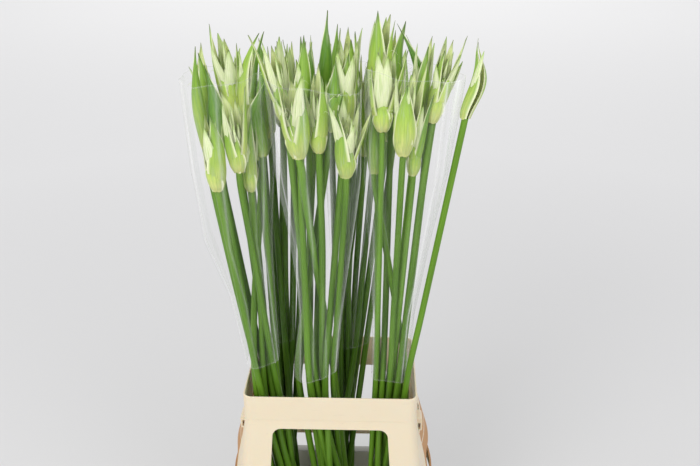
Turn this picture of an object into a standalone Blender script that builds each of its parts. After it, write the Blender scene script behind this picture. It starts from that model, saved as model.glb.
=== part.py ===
# Nerine in bud, ten to a clear sleeve, standing in a bucket under a collar with windows.
# Metres, +Z up, origin under the middle of the bucket, front towards -Y.

import math
import random

import bmesh
import bpy
import numpy as np
from mathutils import Vector

GAP = 0.0003

# Container
BUCKET_RIM_Z = 0.185
BUCKET_HALF = (0.1530, 0.1110)
BUCKET_TAPER = 0.010
BUCKET_WALL = 0.0025
BUCKET_CORNER = 0.024
FLANGE_REACH = 0.0140
FLANGE_THICK = 0.0040
WATER_TOP_Z = 0.095
RIM_Z = 0.447
RIM_HALF = (0.1350, 0.0930)
RIM_CORNER = 0.0140
COLLAR_WALL = 0.0030
CREASE_Z = 0.405
FLARE_SLOPE = math.tan(math.radians(6.3))
SIDE_BULGE = 0.018
BULGE_FULL_Z = 0.300
CORNER_STEPS = 4
SIDE_STEPS = 4
COLLAR_SPLIT_Y = 0.0850
COLLAR_REACH = 0.25

# Openings in the collar, each (lowest z, highest z, half width at the top)
FRONT_WINDOW = (0.280, 0.3895, 0.0905)
SIDE_WINDOW = (0.258, 0.3160, 0.0540)
WINDOW_CORNER = 0.0130
WINDOW_WIDENING = 0.085
FRONT_ARCH_HALF = 0.1180
SIDE_ARCH_HALF = 0.0780
ARCH_TOP_Z = 0.226

# Lugs on the collar's sides
LUG_SIZE = (0.0080, 0.0240, 0.0230)
LUG_HOLE = (0.0036, 0.0110)
LUG_CENTRE_YZ = (-0.0450, 0.3740)
LUG_EDGE = 0.0025
LUG_WALL = (0.0016, 0.0030)

# Stems and heads
FOOT_Z = BUCKET_WALL + 2 * GAP
STEM_RADIUS = 0.0053
STEM_SIDES = 6
STEM_ROOM = 0.0010
HOLE_ROOM = 0.0004
KNOT_HEIGHTS = [FOOT_Z + 0.1145 * k for k in range(7)] + [0.78, 0.86, 0.94, 1.03]
FINE_LEVELS = 46
SETTLE_STEPS = 900
SETTLE_STEP = 2.2
SETTLE_STIFF = 0.20
SETTLE_HOME = 0.012
TIP_ROOM = 0.004
HEAD_START = 0.0008
SPATHE_THICK = 0.0012
BUNCH_ROOM = 0.0068
SLEEVED_Z = (0.43, 0.955)
WAIST_SHARE = 0.38
FOOT_SHARE = -0.20
STEM_LIMIT = (0.1180, 0.0740)

# Sleeves
FILM_THICK = 0.0006
FILM_SIDES = 12
FILM_FLARE = 0.010
FILM_ROOM = 0.0008
FILM_LOOK_STEP = 0.006

# Each kind of head: its half width, rings up to the split (share of length, share of width),
# and the valve sections above it (share of length, radius, half angle in degrees, shift)
KINDS = {
    "shut": {"width": 0.0092, "rings": ((0.0, 0.66), (0.10, 0.80), (0.38, 1.0), (0.62, 0.80), (0.84, 0.36)),
             "split": None, "envelope": (0.80, 1.05, 0.75, 0.35)},
    "half": {"width": 0.0122, "rings": ((0.0, 0.52), (0.12, 0.70), (0.34, 0.95)), "split": 0.50,
             "valve": ((0.70, 0.80, 72, 0.12), (0.87, 0.42, 60, 0.48)), "reach": 0.95, "splay": 0.0,
             "envelope": (0.75, 1.05, 1.08, 0.95)},
    "open": {"width": 0.0125, "rings": ((0.0, 0.50), (0.12, 0.68), (0.32, 0.96)), "split": 0.42,
             "valve": ((0.62, 0.85, 72, 0.32), (0.82, 0.45, 58, 0.95)), "reach": 1.9, "splay": 0.7,
             "envelope": (0.75, 1.08, 1.30, 1.35)},
}
ENVELOPE_AT = (0.0, 0.40, 0.75, 1.0)

# Heads in each bunch: base x, y, z, length, kind, sideways lean of the tip and, where the stem
# crosses the bunch, the share of the head's offset that it has at the rim
BUNCHES = {
    "left": {
        "waist": (-0.106, -0.045), "foot": (-0.046, -0.038), "film": (0.490, 0.935), "outward": (-1.0, -0.2),
        "heads": [
            (-0.153, -0.084, 0.785, 0.112, "half", 0.000),
            (-0.126, -0.072, 0.809, 0.112, "half", 0.004),
            (-0.108, -0.056, 0.773, 0.118, "half", 0.000),
            (-0.174, -0.050, 0.831, 0.142, "shut", -0.005),
            (-0.160, -0.030, 0.825, 0.120, "shut", 0.000),
            (-0.139, -0.010, 0.870, 0.126, "open", -0.006),
            (-0.118, -0.008, 0.862, 0.128, "half", 0.016),
            (-0.096, -0.020, 0.842, 0.122, "shut", 0.006, -0.9),
            (-0.100, -0.045, 0.820, 0.115, "shut", 0.000),
            (-0.174, -0.012, 0.850, 0.120, "half", -0.004),
        ],
    },
    "centre": {
        "waist": (-0.022, -0.045), "foot": (0.026, -0.032), "film": (0.462, 0.925), "outward": (0.0, -1.0),
        "heads": [
            (-0.040, -0.086, 0.810, 0.120, "open", 0.000, -0.9),
            (-0.014, -0.068, 0.836, 0.116, "half", 0.004),
            (-0.034, -0.056, 0.845, 0.145, "half", 0.006),
            (0.024, -0.088, 0.805, 0.112, "open", 0.000),
            (0.006, -0.060, 0.862, 0.100, "shut", 0.004, -1.0),
            (0.022, -0.040, 0.856, 0.126, "open", 0.002),
            (-0.006, -0.012, 0.872, 0.143, "shut", 0.004),
            (-0.026, -0.026, 0.850, 0.125, "shut", 0.006),
            (-0.054, -0.030, 0.854, 0.122, "open", 0.000),
            (-0.054, -0.060, 0.872, 0.118, "half", -0.022),
        ],
    },
    "right": {
        "waist": (0.092, -0.046), "foot": (0.072, -0.035), "film": (0.458, 0.932), "outward": (1.0, -0.2),
        "heads": [
            (0.102, -0.086, 0.837, 0.120, "half", 0.006),
            (0.077, -0.072, 0.867, 0.110, "open", 0.000),
            (0.119, -0.064, 0.802, 0.114, "shut", 0.004),
            (0.061, -0.056, 0.801, 0.106, "shut", 0.000, -0.7),
            (0.070, -0.034, 0.893, 0.126, "half", 0.006),
            (0.087, -0.014, 0.872, 0.130, "half", 0.000),
            (0.141, -0.020, 0.851, 0.148, "shut", -0.040),
            (0.124, -0.038, 0.864, 0.122, "half", 0.006),
            (0.140, -0.058, 0.876, 0.114, "open", 0.028),
        ],
    },
    "loose": {
        "waist": (0.118, -0.062), "foot": (0.090, -0.055), "film": None, "outward": (1.0, 0.0),
        "heads": [(0.185, -0.070, 0.885, 0.104, "shut", 0.016)],
    },
    "rearLeft": {
        "waist": (-0.080, 0.038), "foot": (-0.088, 0.036), "film": (0.480, 0.915), "outward": (-0.4, 1.0),
        "rule": {"centre": (-0.078, 0.052), "spread": 0.050, "base": (0.785, 0.862), "count": 10},
    },
    "rearRight": {
        "waist": (0.026, 0.038), "foot": (0.000, 0.036), "film": (0.470, 0.920), "outward": (0.4, 1.0),
        "rule": {"centre": (0.046, 0.052), "spread": 0.052, "base": (0.790, 0.875), "count": 10},
    },
}
RULE_KINDS = ("half", "shut", "open", "half", "shut")
GOLDEN_ANGLE = math.radians(137.508)

COLOURS = {
    "collarIvory": ((0.84, 0.75, 0.57, 1.0), 0.45),
    "bucketGrey": ((0.36, 0.34, 0.29, 1.0), 0.55),
    "waterClear": ((0.70, 0.78, 0.76, 1.0), 0.05),
    "scapeGreen": ((0.12, 0.29, 0.03, 1.0), 0.40),
    "spatheGreen": ((0.52, 0.64, 0.22, 1.0), 0.50),
    "budPale": ((0.78, 0.82, 0.58, 1.0), 0.45),
    "filmClear": ((0.90, 0.92, 0.93, 1.0), 0.15),
}


def finish(name):
    material = bpy.data.materials.get(name)
    if material is None:
        colour, roughness = COLOURS[name]
        material = bpy.data.materials.new(name)
        material.use_nodes = True
        shader = material.node_tree.nodes["Principled BSDF"]
        shader.inputs["Base Color"].default_value = colour
        shader.inputs["Roughness"].default_value = roughness
        shader.inputs["Metallic"].default_value = 0.0
    return material


def add_object(name, mesh_build, materials, place=Vector((0.0, 0.0, 0.0))):
    # Turns a bmesh into an object whose origin is at place
    bmesh.ops.recalc_face_normals(mesh_build, faces=mesh_build.faces)
    bmesh.ops.translate(mesh_build, verts=mesh_build.verts, vec=-place)
    mesh = bpy.data.meshes.new(name)
    mesh_build.to_mesh(mesh)
    mesh_build.free()
    for material in materials:
        mesh.materials.append(finish(material))
    made = bpy.data.objects.new(name, mesh)
    made.location = place
    bpy.context.scene.collection.objects.link(made)
    return made


def loft(mesh_build, rings, closed_loop=False):
    # Skins rings of points; a closed loop of rings is a shell, otherwise both ends are capped
    rows = [[mesh_build.verts.new(point) for point in ring] for ring in rings]
    pairs = list(zip(rows, rows[1:]))
    if closed_loop:
        pairs.append((rows[-1], rows[0]))
    for low, high in pairs:
        count = len(low)
        for k in range(count):
            after = (k + 1) % count
            mesh_build.faces.new((low[k], low[after], high[after], high[k]))
    if not closed_loop:
        mesh_build.faces.new(list(reversed(rows[0])))
        mesh_build.faces.new(rows[-1])
    return rows


def rounded_outline(half_x, half_y, corner, bulge=0.0):
    # A rectangle with round corners whose two x sides may bow outwards
    points = []
    for quarter in range(4):
        centre_x = (half_x - corner) * (1 if quarter in (0, 3) else -1)
        centre_y = (half_y - corner) * (1 if quarter in (0, 1) else -1)
        for step in range(CORNER_STEPS + 1):
            angle = math.radians(90) * (quarter + step / CORNER_STEPS)
            points.append((centre_x + corner * math.cos(angle), centre_y + corner * math.sin(angle)))
        if quarter in (1, 3):
            side = -1 if quarter == 1 else 1
            start = (half_y - corner) * (1 if quarter == 1 else -1)
            for step in range(1, SIDE_STEPS):
                y = start * (1 - 2 * step / SIDE_STEPS)
                bow = bulge * (1 - (y / start) ** 2)
                points.append((side * (half_x + bow), y))
    return points


def ring_at(z, half_x, half_y, corner, bulge=0.0):
    return [(x, y, z) for x, y in rounded_outline(half_x, half_y, corner, bulge)]


def prism(mesh_build, outline, axis, start, end):
    # Extrudes an outline given in the other two axes along x or y
    rings = []
    for place in (start, end):
        if axis == "x":
            rings.append([(place, a, b) for a, b in outline])
        else:
            rings.append([(a, place, b) for a, b in outline])
    loft(mesh_build, rings)


def window_outline(low, high, half, corner, widening):
    # A window with round corners, a little wider at its foot
    middle = (low + high) / 2
    tall = (high - low) / 2
    points = []
    for quarter in range(4):
        across = (half - corner) * (1 if quarter in (0, 3) else -1)
        up = (tall - corner) * (1 if quarter in (0, 1) else -1)
        for step in range(CORNER_STEPS + 1):
            angle = math.radians(90) * (quarter + step / CORNER_STEPS)
            z = middle + up + corner * math.sin(angle)
            wider = 1 + widening * (high - z) / (high - low)
            points.append(((across + corner * math.cos(angle)) * wider, z))
    return points


def hide_tool(tool):
    tool.hide_render = True
    tool.display_type = "WIRE"


def boolean(target, tool, operation):
    modifier = target.modifiers.new(tool.name, "BOOLEAN")
    modifier.operation = operation
    modifier.object = tool
    modifier.solver = "EXACT"
    hide_tool(tool)


def make_bucket():
    half_x, half_y = BUCKET_HALF
    profile = [
        (-BUCKET_TAPER, 0.0),
        (0.0, BUCKET_RIM_Z - FLANGE_THICK),
        (FLANGE_REACH, BUCKET_RIM_Z - FLANGE_THICK),
        (FLANGE_REACH, BUCKET_RIM_Z),
        (-BUCKET_WALL, BUCKET_RIM_Z),
        (-BUCKET_WALL - BUCKET_TAPER, BUCKET_WALL),
    ]
    build = bmesh.new()
    loft(build, [ring_at(z, half_x + out, half_y + out, BUCKET_CORNER + out / 2) for out, z in profile])
    add_object("bucket", build, ["bucketGrey"])


def collar_half(z):
    flare = max(0.0, CREASE_Z - z) * FLARE_SLOPE
    return RIM_HALF[0] + flare, RIM_HALF[1] + flare


def collar_ring(z, inset):
    half_x, half_y = collar_half(z)
    drop = min(1.0, max(0.0, (CREASE_Z - z) / (CREASE_Z - BULGE_FULL_Z)))
    bulge = SIDE_BULGE * drop * drop * (3 - 2 * drop)
    corner = RIM_CORNER + 0.4 * (half_x - RIM_HALF[0]) - inset
    return ring_at(z, half_x - inset, half_y - inset, corner, bulge)


def make_collar():
    # Three panels: the front, the left side, and the back with the right side
    front_openings = collar_openings("front_openings", "y", FRONT_WINDOW, FRONT_ARCH_HALF)
    side_openings = collar_openings("side_openings", "x", SIDE_WINDOW, SIDE_ARCH_HALF)
    far = COLLAR_REACH
    near = COLLAR_SPLIT_Y - GAP / 2
    past = COLLAR_SPLIT_Y + GAP / 2

    front = collar_panel("collar_front", [((-far, far), (-past, far))])
    boolean(front, front_openings, "DIFFERENCE")

    left = collar_panel("collar_left", [((-far, far), (-far, -near)), ((-far, far), (near, far)), ((0.0, far), (-far, far))])
    boolean(left, side_openings, "DIFFERENCE")
    add_lug(left, -1)

    back = collar_panel("collar_backRight", [((-far, far), (-far, -near)), ((-far, 0.0), (-far, past))])
    boolean(back, front_openings, "DIFFERENCE")
    boolean(back, side_openings, "DIFFERENCE")
    add_lug(back, 1)


def collar_panel(name, cut_away):
    heights = [BUCKET_RIM_Z + GAP, ARCH_TOP_Z, 0.262, BULGE_FULL_Z, 0.335, 0.370, CREASE_Z, RIM_Z]
    rings = [collar_ring(z, 0.0) for z in heights]
    rings += [collar_ring(z, COLLAR_WALL) for z in reversed(heights)]
    build = bmesh.new()
    loft(build, rings, closed_loop=True)
    bmesh.ops.triangulate(build, faces=build.faces)
    panel = add_object(name, build, ["collarIvory"])
    for index, (across, depth) in enumerate(cut_away):
        zone = bmesh.new()
        section = [(across[0], 0.0), (across[1], 0.0), (across[1], 1.0), (across[0], 1.0)]
        prism(zone, section, "y", depth[0], depth[1])
        boolean(panel, add_object("%s_zone_%d" % (name, index), zone, []), "DIFFERENCE")
    return panel


def collar_openings(name, axis, window, arch_half):
    low, high, half = window
    cutter = bmesh.new()
    prism(cutter, window_outline(low, high, half, WINDOW_CORNER, WINDOW_WIDENING), axis, -COLLAR_REACH, COLLAR_REACH)
    arch = window_outline(2 * BUCKET_RIM_Z - ARCH_TOP_Z, ARCH_TOP_Z, arch_half, WINDOW_CORNER, 0.0)
    prism(cutter, arch, axis, -COLLAR_REACH, COLLAR_REACH)
    return add_object(name, cutter, [])


def add_lug(panel, side):
    reach, length, height = LUG_SIZE
    hole_reach, hole_height = LUG_HOLE
    y, z = LUG_CENTRE_YZ
    wall = collar_half(z)[0] - COLLAR_WALL / 2
    outer = collar_half(z)[0] + reach
    block = [(side * wall, z - height / 2), (side * (outer - LUG_EDGE), z - height / 2),
             (side * outer, z - height / 2 + LUG_EDGE), (side * outer, z + height / 2 - LUG_EDGE),
             (side * (outer - LUG_EDGE), z + height / 2), (side * wall, z + height / 2)]
    lug = bmesh.new()
    prism(lug, block, "y", y - length / 2, y + length / 2)
    boolean(panel, add_object(panel.name + "_lug", lug, []), "UNION")

    inner = collar_half(z)[0] + LUG_WALL[0]
    low = z - height / 2 + LUG_WALL[1]
    opening = [(side * inner, low), (side * (inner + hole_reach), low),
               (side * (inner + hole_reach), low + hole_height), (side * inner, low + hole_height)]
    hole = bmesh.new()
    prism(hole, opening, "y", y - length, y + length)
    boolean(panel, add_object(panel.name + "_lug_hole", hole, []), "DIFFERENCE")


def spread_heads():
    # Lists every flower with its bunch, head and the line from foot to rim to head
    draw = random.Random(41)
    flowers = []
    for bunch_name, bunch in BUNCHES.items():
        heads = bunch.get("heads") or ruled_heads(bunch["rule"], draw)
        middle = np.mean([head[:2] for head in heads], axis=0)
        for index, head in enumerate(heads):
            x, y, base, length, kind, lean = head[:6]
            share = head[6] if len(head) > 6 else WAIST_SHARE
            offset = np.array((x, y)) - middle
            flowers.append({
                "bunch": bunch_name, "name": "%s_%02d" % (bunch_name, index + 1), "kind": kind,
                "base": base, "length": length, "stem": STEM_RADIUS * draw.uniform(0.92, 1.06),
                "width": KINDS[kind]["width"] * draw.uniform(0.94, 1.06),
                "foot": np.array(bunch["foot"]) + FOOT_SHARE * offset,
                "waist": np.array(bunch["waist"]) + share * offset,
                "head": np.array((x, y)), "tip": np.array((x + lean, y - 0.002)),
                "buds": [draw.uniform(0.80, 1.0) for _ in range(6)],
            })
    return flowers


def ruled_heads(rule, draw):
    # Heads of a hidden bunch, spread like seeds on a disc
    heads = []
    for k in range(rule["count"]):
        radius = rule["spread"] * math.sqrt((k + 0.5) / rule["count"])
        angle = k * GOLDEN_ANGLE
        x = rule["centre"][0] + radius * math.cos(angle)
        y = rule["centre"][1] + 0.85 * radius * math.sin(angle)
        base = draw.uniform(*rule["base"])
        heads.append((x, y, base, draw.uniform(0.108, 0.130), RULE_KINDS[k % 5], draw.uniform(-0.012, 0.012)))
    return heads


def reach_at(flower, z):
    # Radius of the room that a flower takes up at a height, or zero above its tip
    share = (z - flower["base"]) / flower["length"]
    if share < 0:
        return flower["stem"]
    if share > 1.04:
        return 0.0
    factors = KINDS[flower["kind"]]["envelope"]
    return flower["width"] * float(np.interp(share, ENVELOPE_AT, factors))


def push_apart(fine, radii):
    delta = fine[:, :, None] - fine[:, None]
    distance = np.linalg.norm(delta, axis=3) + 1e-9
    need = radii[:, :, None] + radii[:, None] + STEM_ROOM
    need[(radii[:, :, None] == 0) | (radii[:, None] == 0)] = 0.0
    need[:, np.arange(fine.shape[1]), np.arange(fine.shape[1])] = 0.0
    over = np.clip(need - distance, 0.0, None)
    return 0.5 * ((over / distance)[..., None] * delta).sum(axis=2)


def push_inside(fine, heights):
    # Keeps the stems clear of the collar's and the bucket's walls
    push = np.zeros_like(fine)
    inside = heights < RIM_Z + 0.02
    for axis in (0, 1):
        over = np.abs(fine[inside, :, axis]) - STEM_LIMIT[axis]
        push[inside, :, axis] = -np.sign(fine[inside, :, axis]) * np.clip(over, 0.0, None)
    return push


def push_bunches(fine, radii, heights, members):
    # Keeps each sleeved bunch on its own side of a line between it and the next
    push = np.zeros_like(fine)
    names = list(members)
    sleeved = np.where((heights > SLEEVED_Z[0]) & (heights < SLEEVED_Z[1]))[0]
    for first in range(len(names)):
        for second in range(first + 1, len(names)):
            one = members[names[first]]
            two = members[names[second]]
            for level in sleeved:
                towards = fine[level, two].mean(axis=0) - fine[level, one].mean(axis=0)
                towards /= np.linalg.norm(towards)
                far = fine[level, one] @ towards + radii[level, one]
                near = fine[level, two] @ towards - radii[level, two]
                edge = (far.max() + near.min()) / 2
                one_over = np.clip(far - (edge - BUNCH_ROOM / 2), 0.0, None)
                two_over = np.clip((edge + BUNCH_ROOM / 2) - near, 0.0, None)
                if far.max() + BUNCH_ROOM > near.min():
                    push[level, one] -= 0.5 * one_over[:, None] * towards
                    push[level, two] += 0.5 * two_over[:, None] * towards
    return push


def settle(flowers):
    # Eases the lines sideways until no stem or head touches another
    heights = np.linspace(FOOT_Z, KNOT_HEIGHTS[-1], FINE_LEVELS)
    weights = np.array([np.interp(heights, KNOT_HEIGHTS, row) for row in np.eye(len(KNOT_HEIGHTS))]).T
    load = weights.sum(axis=0)[None, :, None]
    start = []
    for flower in flowers:
        marks = (FOOT_Z, RIM_Z, flower["base"], flower["base"] + flower["length"])
        ends = np.array((flower["foot"], flower["waist"], flower["head"], flower["tip"]))
        start.append(np.array([np.interp(KNOT_HEIGHTS, marks, ends[:, axis]) for axis in (0, 1)]).T)
    start = np.array(start)
    lines = start.copy()
    radii = np.array([[reach_at(flower, z) for flower in flowers] for z in heights])
    members = {}
    for index, flower in enumerate(flowers):
        members.setdefault(flower["bunch"], []).append(index)
    for step in range(SETTLE_STEPS):
        fine = np.einsum("fk,nkd->fnd", weights, lines)
        push = push_apart(fine, radii) + push_inside(fine, heights)
        if step % 3 == 0 or step > SETTLE_STEPS - 200:
            push += push_bunches(fine, radii, heights, members)
        lines += SETTLE_STEP * np.einsum("fk,fnd->nkd", weights, push) / load
        drift = lines - start
        calm = 1.0 - step / SETTLE_STEPS
        lines[:, 1:-1] += SETTLE_STIFF * calm * (drift[:, :-2] - 2 * drift[:, 1:-1] + drift[:, 2:])
        lines -= SETTLE_HOME * calm * drift
    return lines


def point_on(line, z):
    return Vector((float(np.interp(z, KNOT_HEIGHTS, line[:, 0])), float(np.interp(z, KNOT_HEIGHTS, line[:, 1])), z))


def cross_ring(centre, long_radius, short_radius, turn):
    points = []
    for k in range(STEM_SIDES):
        angle = 2 * math.pi * k / STEM_SIDES
        across = long_radius * math.cos(angle)
        along = short_radius * math.sin(angle)
        points.append(centre + Vector((across * math.cos(turn) - along * math.sin(turn),
                                       across * math.sin(turn) + along * math.cos(turn), 0.0)))
    return points


def stem_rings(flower, line):
    heights = [z for z in KNOT_HEIGHTS if z < flower["base"] - 0.02] + [flower["base"]]
    return [cross_ring(point_on(line, z), flower["stem"], flower["stem"], flower["turn"]) for z in heights]


def choose_turns(flowers, lines):
    # Turns each head so that its valve tips point to where there is most room
    tips = []
    for index, flower in enumerate(flowers):
        kind = KINDS[flower["kind"]]
        best = None
        for step in range(12):
            turn = math.pi * step / 12 + 0.13 * index
            room = 1.0
            for share, reach in ((0.8, 0.75), (1.0, 1.0)):
                z = flower["base"] + share * flower["length"]
                centre = point_on(lines[index], z)
                for side in (-1, 1):
                    out = side * reach * kind.get("reach", 0.0) * flower["width"]
                    tip = centre + Vector((-math.sin(turn) * out, math.cos(turn) * out, 0.0))
                    for other in range(len(flowers)):
                        body = reach_at(flowers[other], z)
                        if other != index and body > 0:
                            room = min(room, (tip - point_on(lines[other], z)).length - body)
                    for placed in tips:
                        room = min(room, (tip - placed).length - TIP_ROOM)
            if best is None or room > best[0]:
                best = (room, turn)
        flower["turn"] = best[1]
        flower["opening"] = min(1.0, max(0.45, 1.0 + (best[0] - 0.003) / 0.012))
        out = kind.get("reach", 0.0) * flower["width"] * flower["opening"]
        centre = point_on(lines[index], flower["base"] + flower["length"])
        aside = Vector((-math.sin(best[1]) * out, math.cos(best[1]) * out, 0.0))
        tips += [centre + aside, centre - aside]


def make_flower(flower, line):
    kind = KINDS[flower["kind"]]
    width = flower["width"]
    turn = flower["turn"]
    base = flower["base"]
    length = flower["length"]
    rings = stem_rings(flower, line)
    for share, factor in kind["rings"]:
        z = base + HEAD_START + share * length
        rings.append(cross_ring(point_on(line, z), width * factor, width * factor * 0.9, turn))
    build = bmesh.new()
    if kind["split"] is None:
        loft(build, rings)
        tip = point_on(line, base + length)
        bmesh.ops.poke(build, faces=[build.faces[:][-1]])
        build.verts.ensure_lookup_table()
        build.verts[-1].co = tip
    else:
        split = point_on(line, base + kind["split"] * length)
        rings.append(cross_ring(split, width, width * 0.9, turn))
        rows = loft(build, rings)
        bmesh.ops.delete(build, geom=[build.faces[:][-1]], context="FACES_ONLY")
        thin = width - SPATHE_THICK
        inner = [build.verts.new(point) for point in cross_ring(split, thin, thin * 0.9, turn)]
        add_valves(build, flower, line, rows[-1], inner)
        add_buds(build, flower, line, split, inner)
    for face in build.faces:
        face.smooth = True
        if face.material_index == 0 and face.calc_center_median().z > base:
            face.material_index = 1
    foot = point_on(line, FOOT_Z)
    made = add_object("nerine_" + flower["name"], build, ["scapeGreen", "spatheGreen", "budPale"], foot)
    made.data.set_sharp_from_angle(angle=math.radians(50))


def add_valves(build, flower, line, outer, inner):
    # Two thin pointed valves go on from the split ring, one on each half
    kind = KINDS[flower["kind"]]
    width = flower["width"]
    turn = flower["turn"]
    across = Vector((math.cos(turn), math.sin(turn), 0.0))
    outwards = Vector((-math.sin(turn), math.cos(turn), 0.0))
    for side, first in ((1, 0), (-1, 3)):
        picks = [(first + k) % STEM_SIDES for k in range(4)]
        outside = [outer[k] for k in picks]
        inside = [inner[k] for k in picks]
        stretch = 1.0 if side == 1 else flower["buds"][0]
        for share, radius, angle, shift in kind["valve"]:
            centre = point_on(line, flower["base"] + share * flower["length"])
            centre.z = flower["base"] + flower["length"] * (kind["split"] + (share - kind["split"]) * stretch)
            next_outside = []
            next_inside = []
            for k in range(4):
                around = math.radians(angle) * (1 - 2 * k / 3) * side
                for thin, row in ((0.0, next_outside), (SPATHE_THICK * 0.85, next_inside)):
                    reach = width * radius - thin
                    aside = width * shift * flower["opening"]
                    row.append(build.verts.new(
                        centre + across * (reach * math.sin(around))
                        + outwards * side * 0.9 * (reach * math.cos(around) + aside)))
            for k in range(3):
                build.faces.new((outside[k], outside[k + 1], next_outside[k + 1], next_outside[k]))
                build.faces.new((inside[k + 1], inside[k], next_inside[k], next_inside[k + 1]))
            build.faces.new((outside[0], next_outside[0], next_inside[0], inside[0]))
            build.faces.new((outside[3], inside[3], next_inside[3], next_outside[3]))
            outside = next_outside
            inside = next_inside
        top = flower["base"] + flower["length"] * (kind["split"] + (1 - kind["split"]) * stretch)
        reach = kind["reach"] * width * flower["opening"] * 0.9
        centre = point_on(line, flower["base"] + flower["length"])
        centre.z = top
        tip = build.verts.new(centre + outwards * side * reach)
        for k in range(3):
            build.faces.new((outside[k], outside[k + 1], tip))
            build.faces.new((inside[k + 1], inside[k], tip))
        build.faces.new((outside[0], tip, inside[0]))
        build.faces.new((outside[3], inside[3], tip))


def add_buds(build, flower, line, split, inner):
    # A slim bud stands on each sixth of the cup's floor
    kind = KINDS[flower["kind"]]
    heart = build.verts.new(split)
    split_z = split.z
    for k in range(STEM_SIDES):
        root = [heart, inner[k], inner[(k + 1) % STEM_SIDES]]
        middle = (root[0].co + root[1].co + root[2].co) / 3
        lean = middle - split
        top_share = kind["split"] + (0.97 - kind["split"]) * flower["buds"][k]
        top_z = flower["base"] + flower["length"] * top_share
        belly_z = split_z + 0.55 * (top_z - split_z)
        splay = kind["splay"] * flower["opening"]
        belly_middle = point_on(line, belly_z) + lean * (1 + 0.35 * splay)
        belly = [build.verts.new(belly_middle + 0.60 * (vert.co - middle)) for vert in root]
        tip = build.verts.new(point_on(line, top_z) + lean * (0.9 + 1.3 * splay))
        for a in range(3):
            b = (a + 1) % 3
            lower = build.faces.new((root[a], root[b], belly[b], belly[a]))
            upper = build.faces.new((belly[a], belly[b], tip))
            lower.material_index = 2
            upper.material_index = 2


def make_water(flowers, lines):
    half_x, half_y = BUCKET_HALF
    rings = []
    for z in (BUCKET_WALL + GAP, WATER_TOP_Z):
        out = -BUCKET_WALL - BUCKET_TAPER * (1 - z / BUCKET_RIM_Z) - 2 * GAP
        rings.append(ring_at(z, half_x + out, half_y + out, BUCKET_CORNER + out / 2))
    build = bmesh.new()
    loft(build, rings)
    water = add_object("water", build, ["waterClear"])
    holes = bmesh.new()
    for flower, line in zip(flowers, lines):
        radius = flower["stem"] + HOLE_ROOM
        low = point_on(line, KNOT_HEIGHTS[0])
        high = point_on(line, KNOT_HEIGHTS[1])
        below = low + (low - high) * 0.1
        loft(holes, [cross_ring(point, radius, radius, flower["turn"]) for point in (below, high)])
    boolean(water, add_object("stem_holes", holes, []), "DIFFERENCE")


def support(flowers, lines, low, high, direction):
    # Furthest reach of a bunch in one direction between two heights
    furthest = -1.0
    for z in np.linspace(low, high, 1 + int(round((high - low) / FILM_LOOK_STEP))):
        for flower, line in zip(flowers, lines):
            radius = reach_at(flower, z)
            if radius > 0:
                furthest = max(furthest, point_on(line, z).dot(direction) + radius)
    return furthest


def make_sleeve(name, bunch, flowers, lines):
    foot_z, top_z = bunch["film"]
    outward = Vector((bunch["outward"][0], bunch["outward"][1], 0.0)).normalized()
    directions = []
    for k in range(FILM_SIDES):
        angle = 2 * math.pi * k / FILM_SIDES
        directions.append(Vector((math.cos(angle), math.sin(angle), 0.0)))
    heights = [foot_z, foot_z + 0.115, 0.700, 0.800, top_z]
    windows = [(z, z) for z in heights[:2]] + [(0.690, 0.800), (0.720, 0.900), (0.800, top_z + 0.01)]
    inside = []
    outside = []
    for z, (low, high) in zip(heights, windows):
        rise = (z - foot_z) / (top_z - foot_z)
        walls = []
        for direction in directions:
            flare = FILM_FLARE * rise * rise * max(0.0, direction.dot(outward))
            walls.append(support(flowers, lines, low, high, direction) + FILM_ROOM + flare)
        inside.append(wall_corners(directions, walls, z))
        outside.append(wall_corners(directions, [wall + FILM_THICK for wall in walls], z))
    build = bmesh.new()
    loft(build, outside + inside[::-1], closed_loop=True)
    add_object("sleeve_" + name, build, ["filmClear"])


def wall_corners(directions, walls, z):
    # Corners of the polygon whose sides face the given directions
    corners = []
    for k in range(len(directions)):
        after = (k + 1) % len(directions)
        sides = np.array([directions[k].xy, directions[after].xy])
        x, y = np.linalg.solve(sides, [walls[k], walls[after]])
        corners.append((float(x), float(y), z))
    return corners


def main():
    for old in list(bpy.data.objects):
        bpy.data.objects.remove(old)
    make_bucket()
    make_collar()
    flowers = spread_heads()
    lines = settle(flowers)
    choose_turns(flowers, lines)
    for flower, line in zip(flowers, lines):
        make_flower(flower, line)
    make_water(flowers, lines)
    for name, bunch in BUNCHES.items():
        if bunch["film"]:
            picks = [k for k, flower in enumerate(flowers) if flower["bunch"] == name]
            make_sleeve(name, bunch, [flowers[k] for k in picks], [lines[k] for k in picks])


main()
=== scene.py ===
import bpy, bmesh, math, random
import numpy as np
from mathutils import Vector, Matrix


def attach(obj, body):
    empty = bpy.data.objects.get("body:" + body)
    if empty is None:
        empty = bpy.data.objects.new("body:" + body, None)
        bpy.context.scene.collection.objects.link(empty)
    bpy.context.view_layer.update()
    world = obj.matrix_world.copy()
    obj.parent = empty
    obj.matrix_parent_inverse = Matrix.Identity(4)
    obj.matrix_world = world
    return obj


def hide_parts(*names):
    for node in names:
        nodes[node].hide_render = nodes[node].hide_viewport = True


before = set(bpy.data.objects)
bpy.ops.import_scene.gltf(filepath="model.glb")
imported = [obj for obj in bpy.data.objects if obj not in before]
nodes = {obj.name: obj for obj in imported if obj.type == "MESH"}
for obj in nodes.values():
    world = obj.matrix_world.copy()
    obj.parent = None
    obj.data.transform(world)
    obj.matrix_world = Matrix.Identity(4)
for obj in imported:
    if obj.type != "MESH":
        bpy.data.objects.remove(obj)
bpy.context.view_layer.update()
print("frame loaded:", len(nodes), "nodes")


# camera

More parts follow.
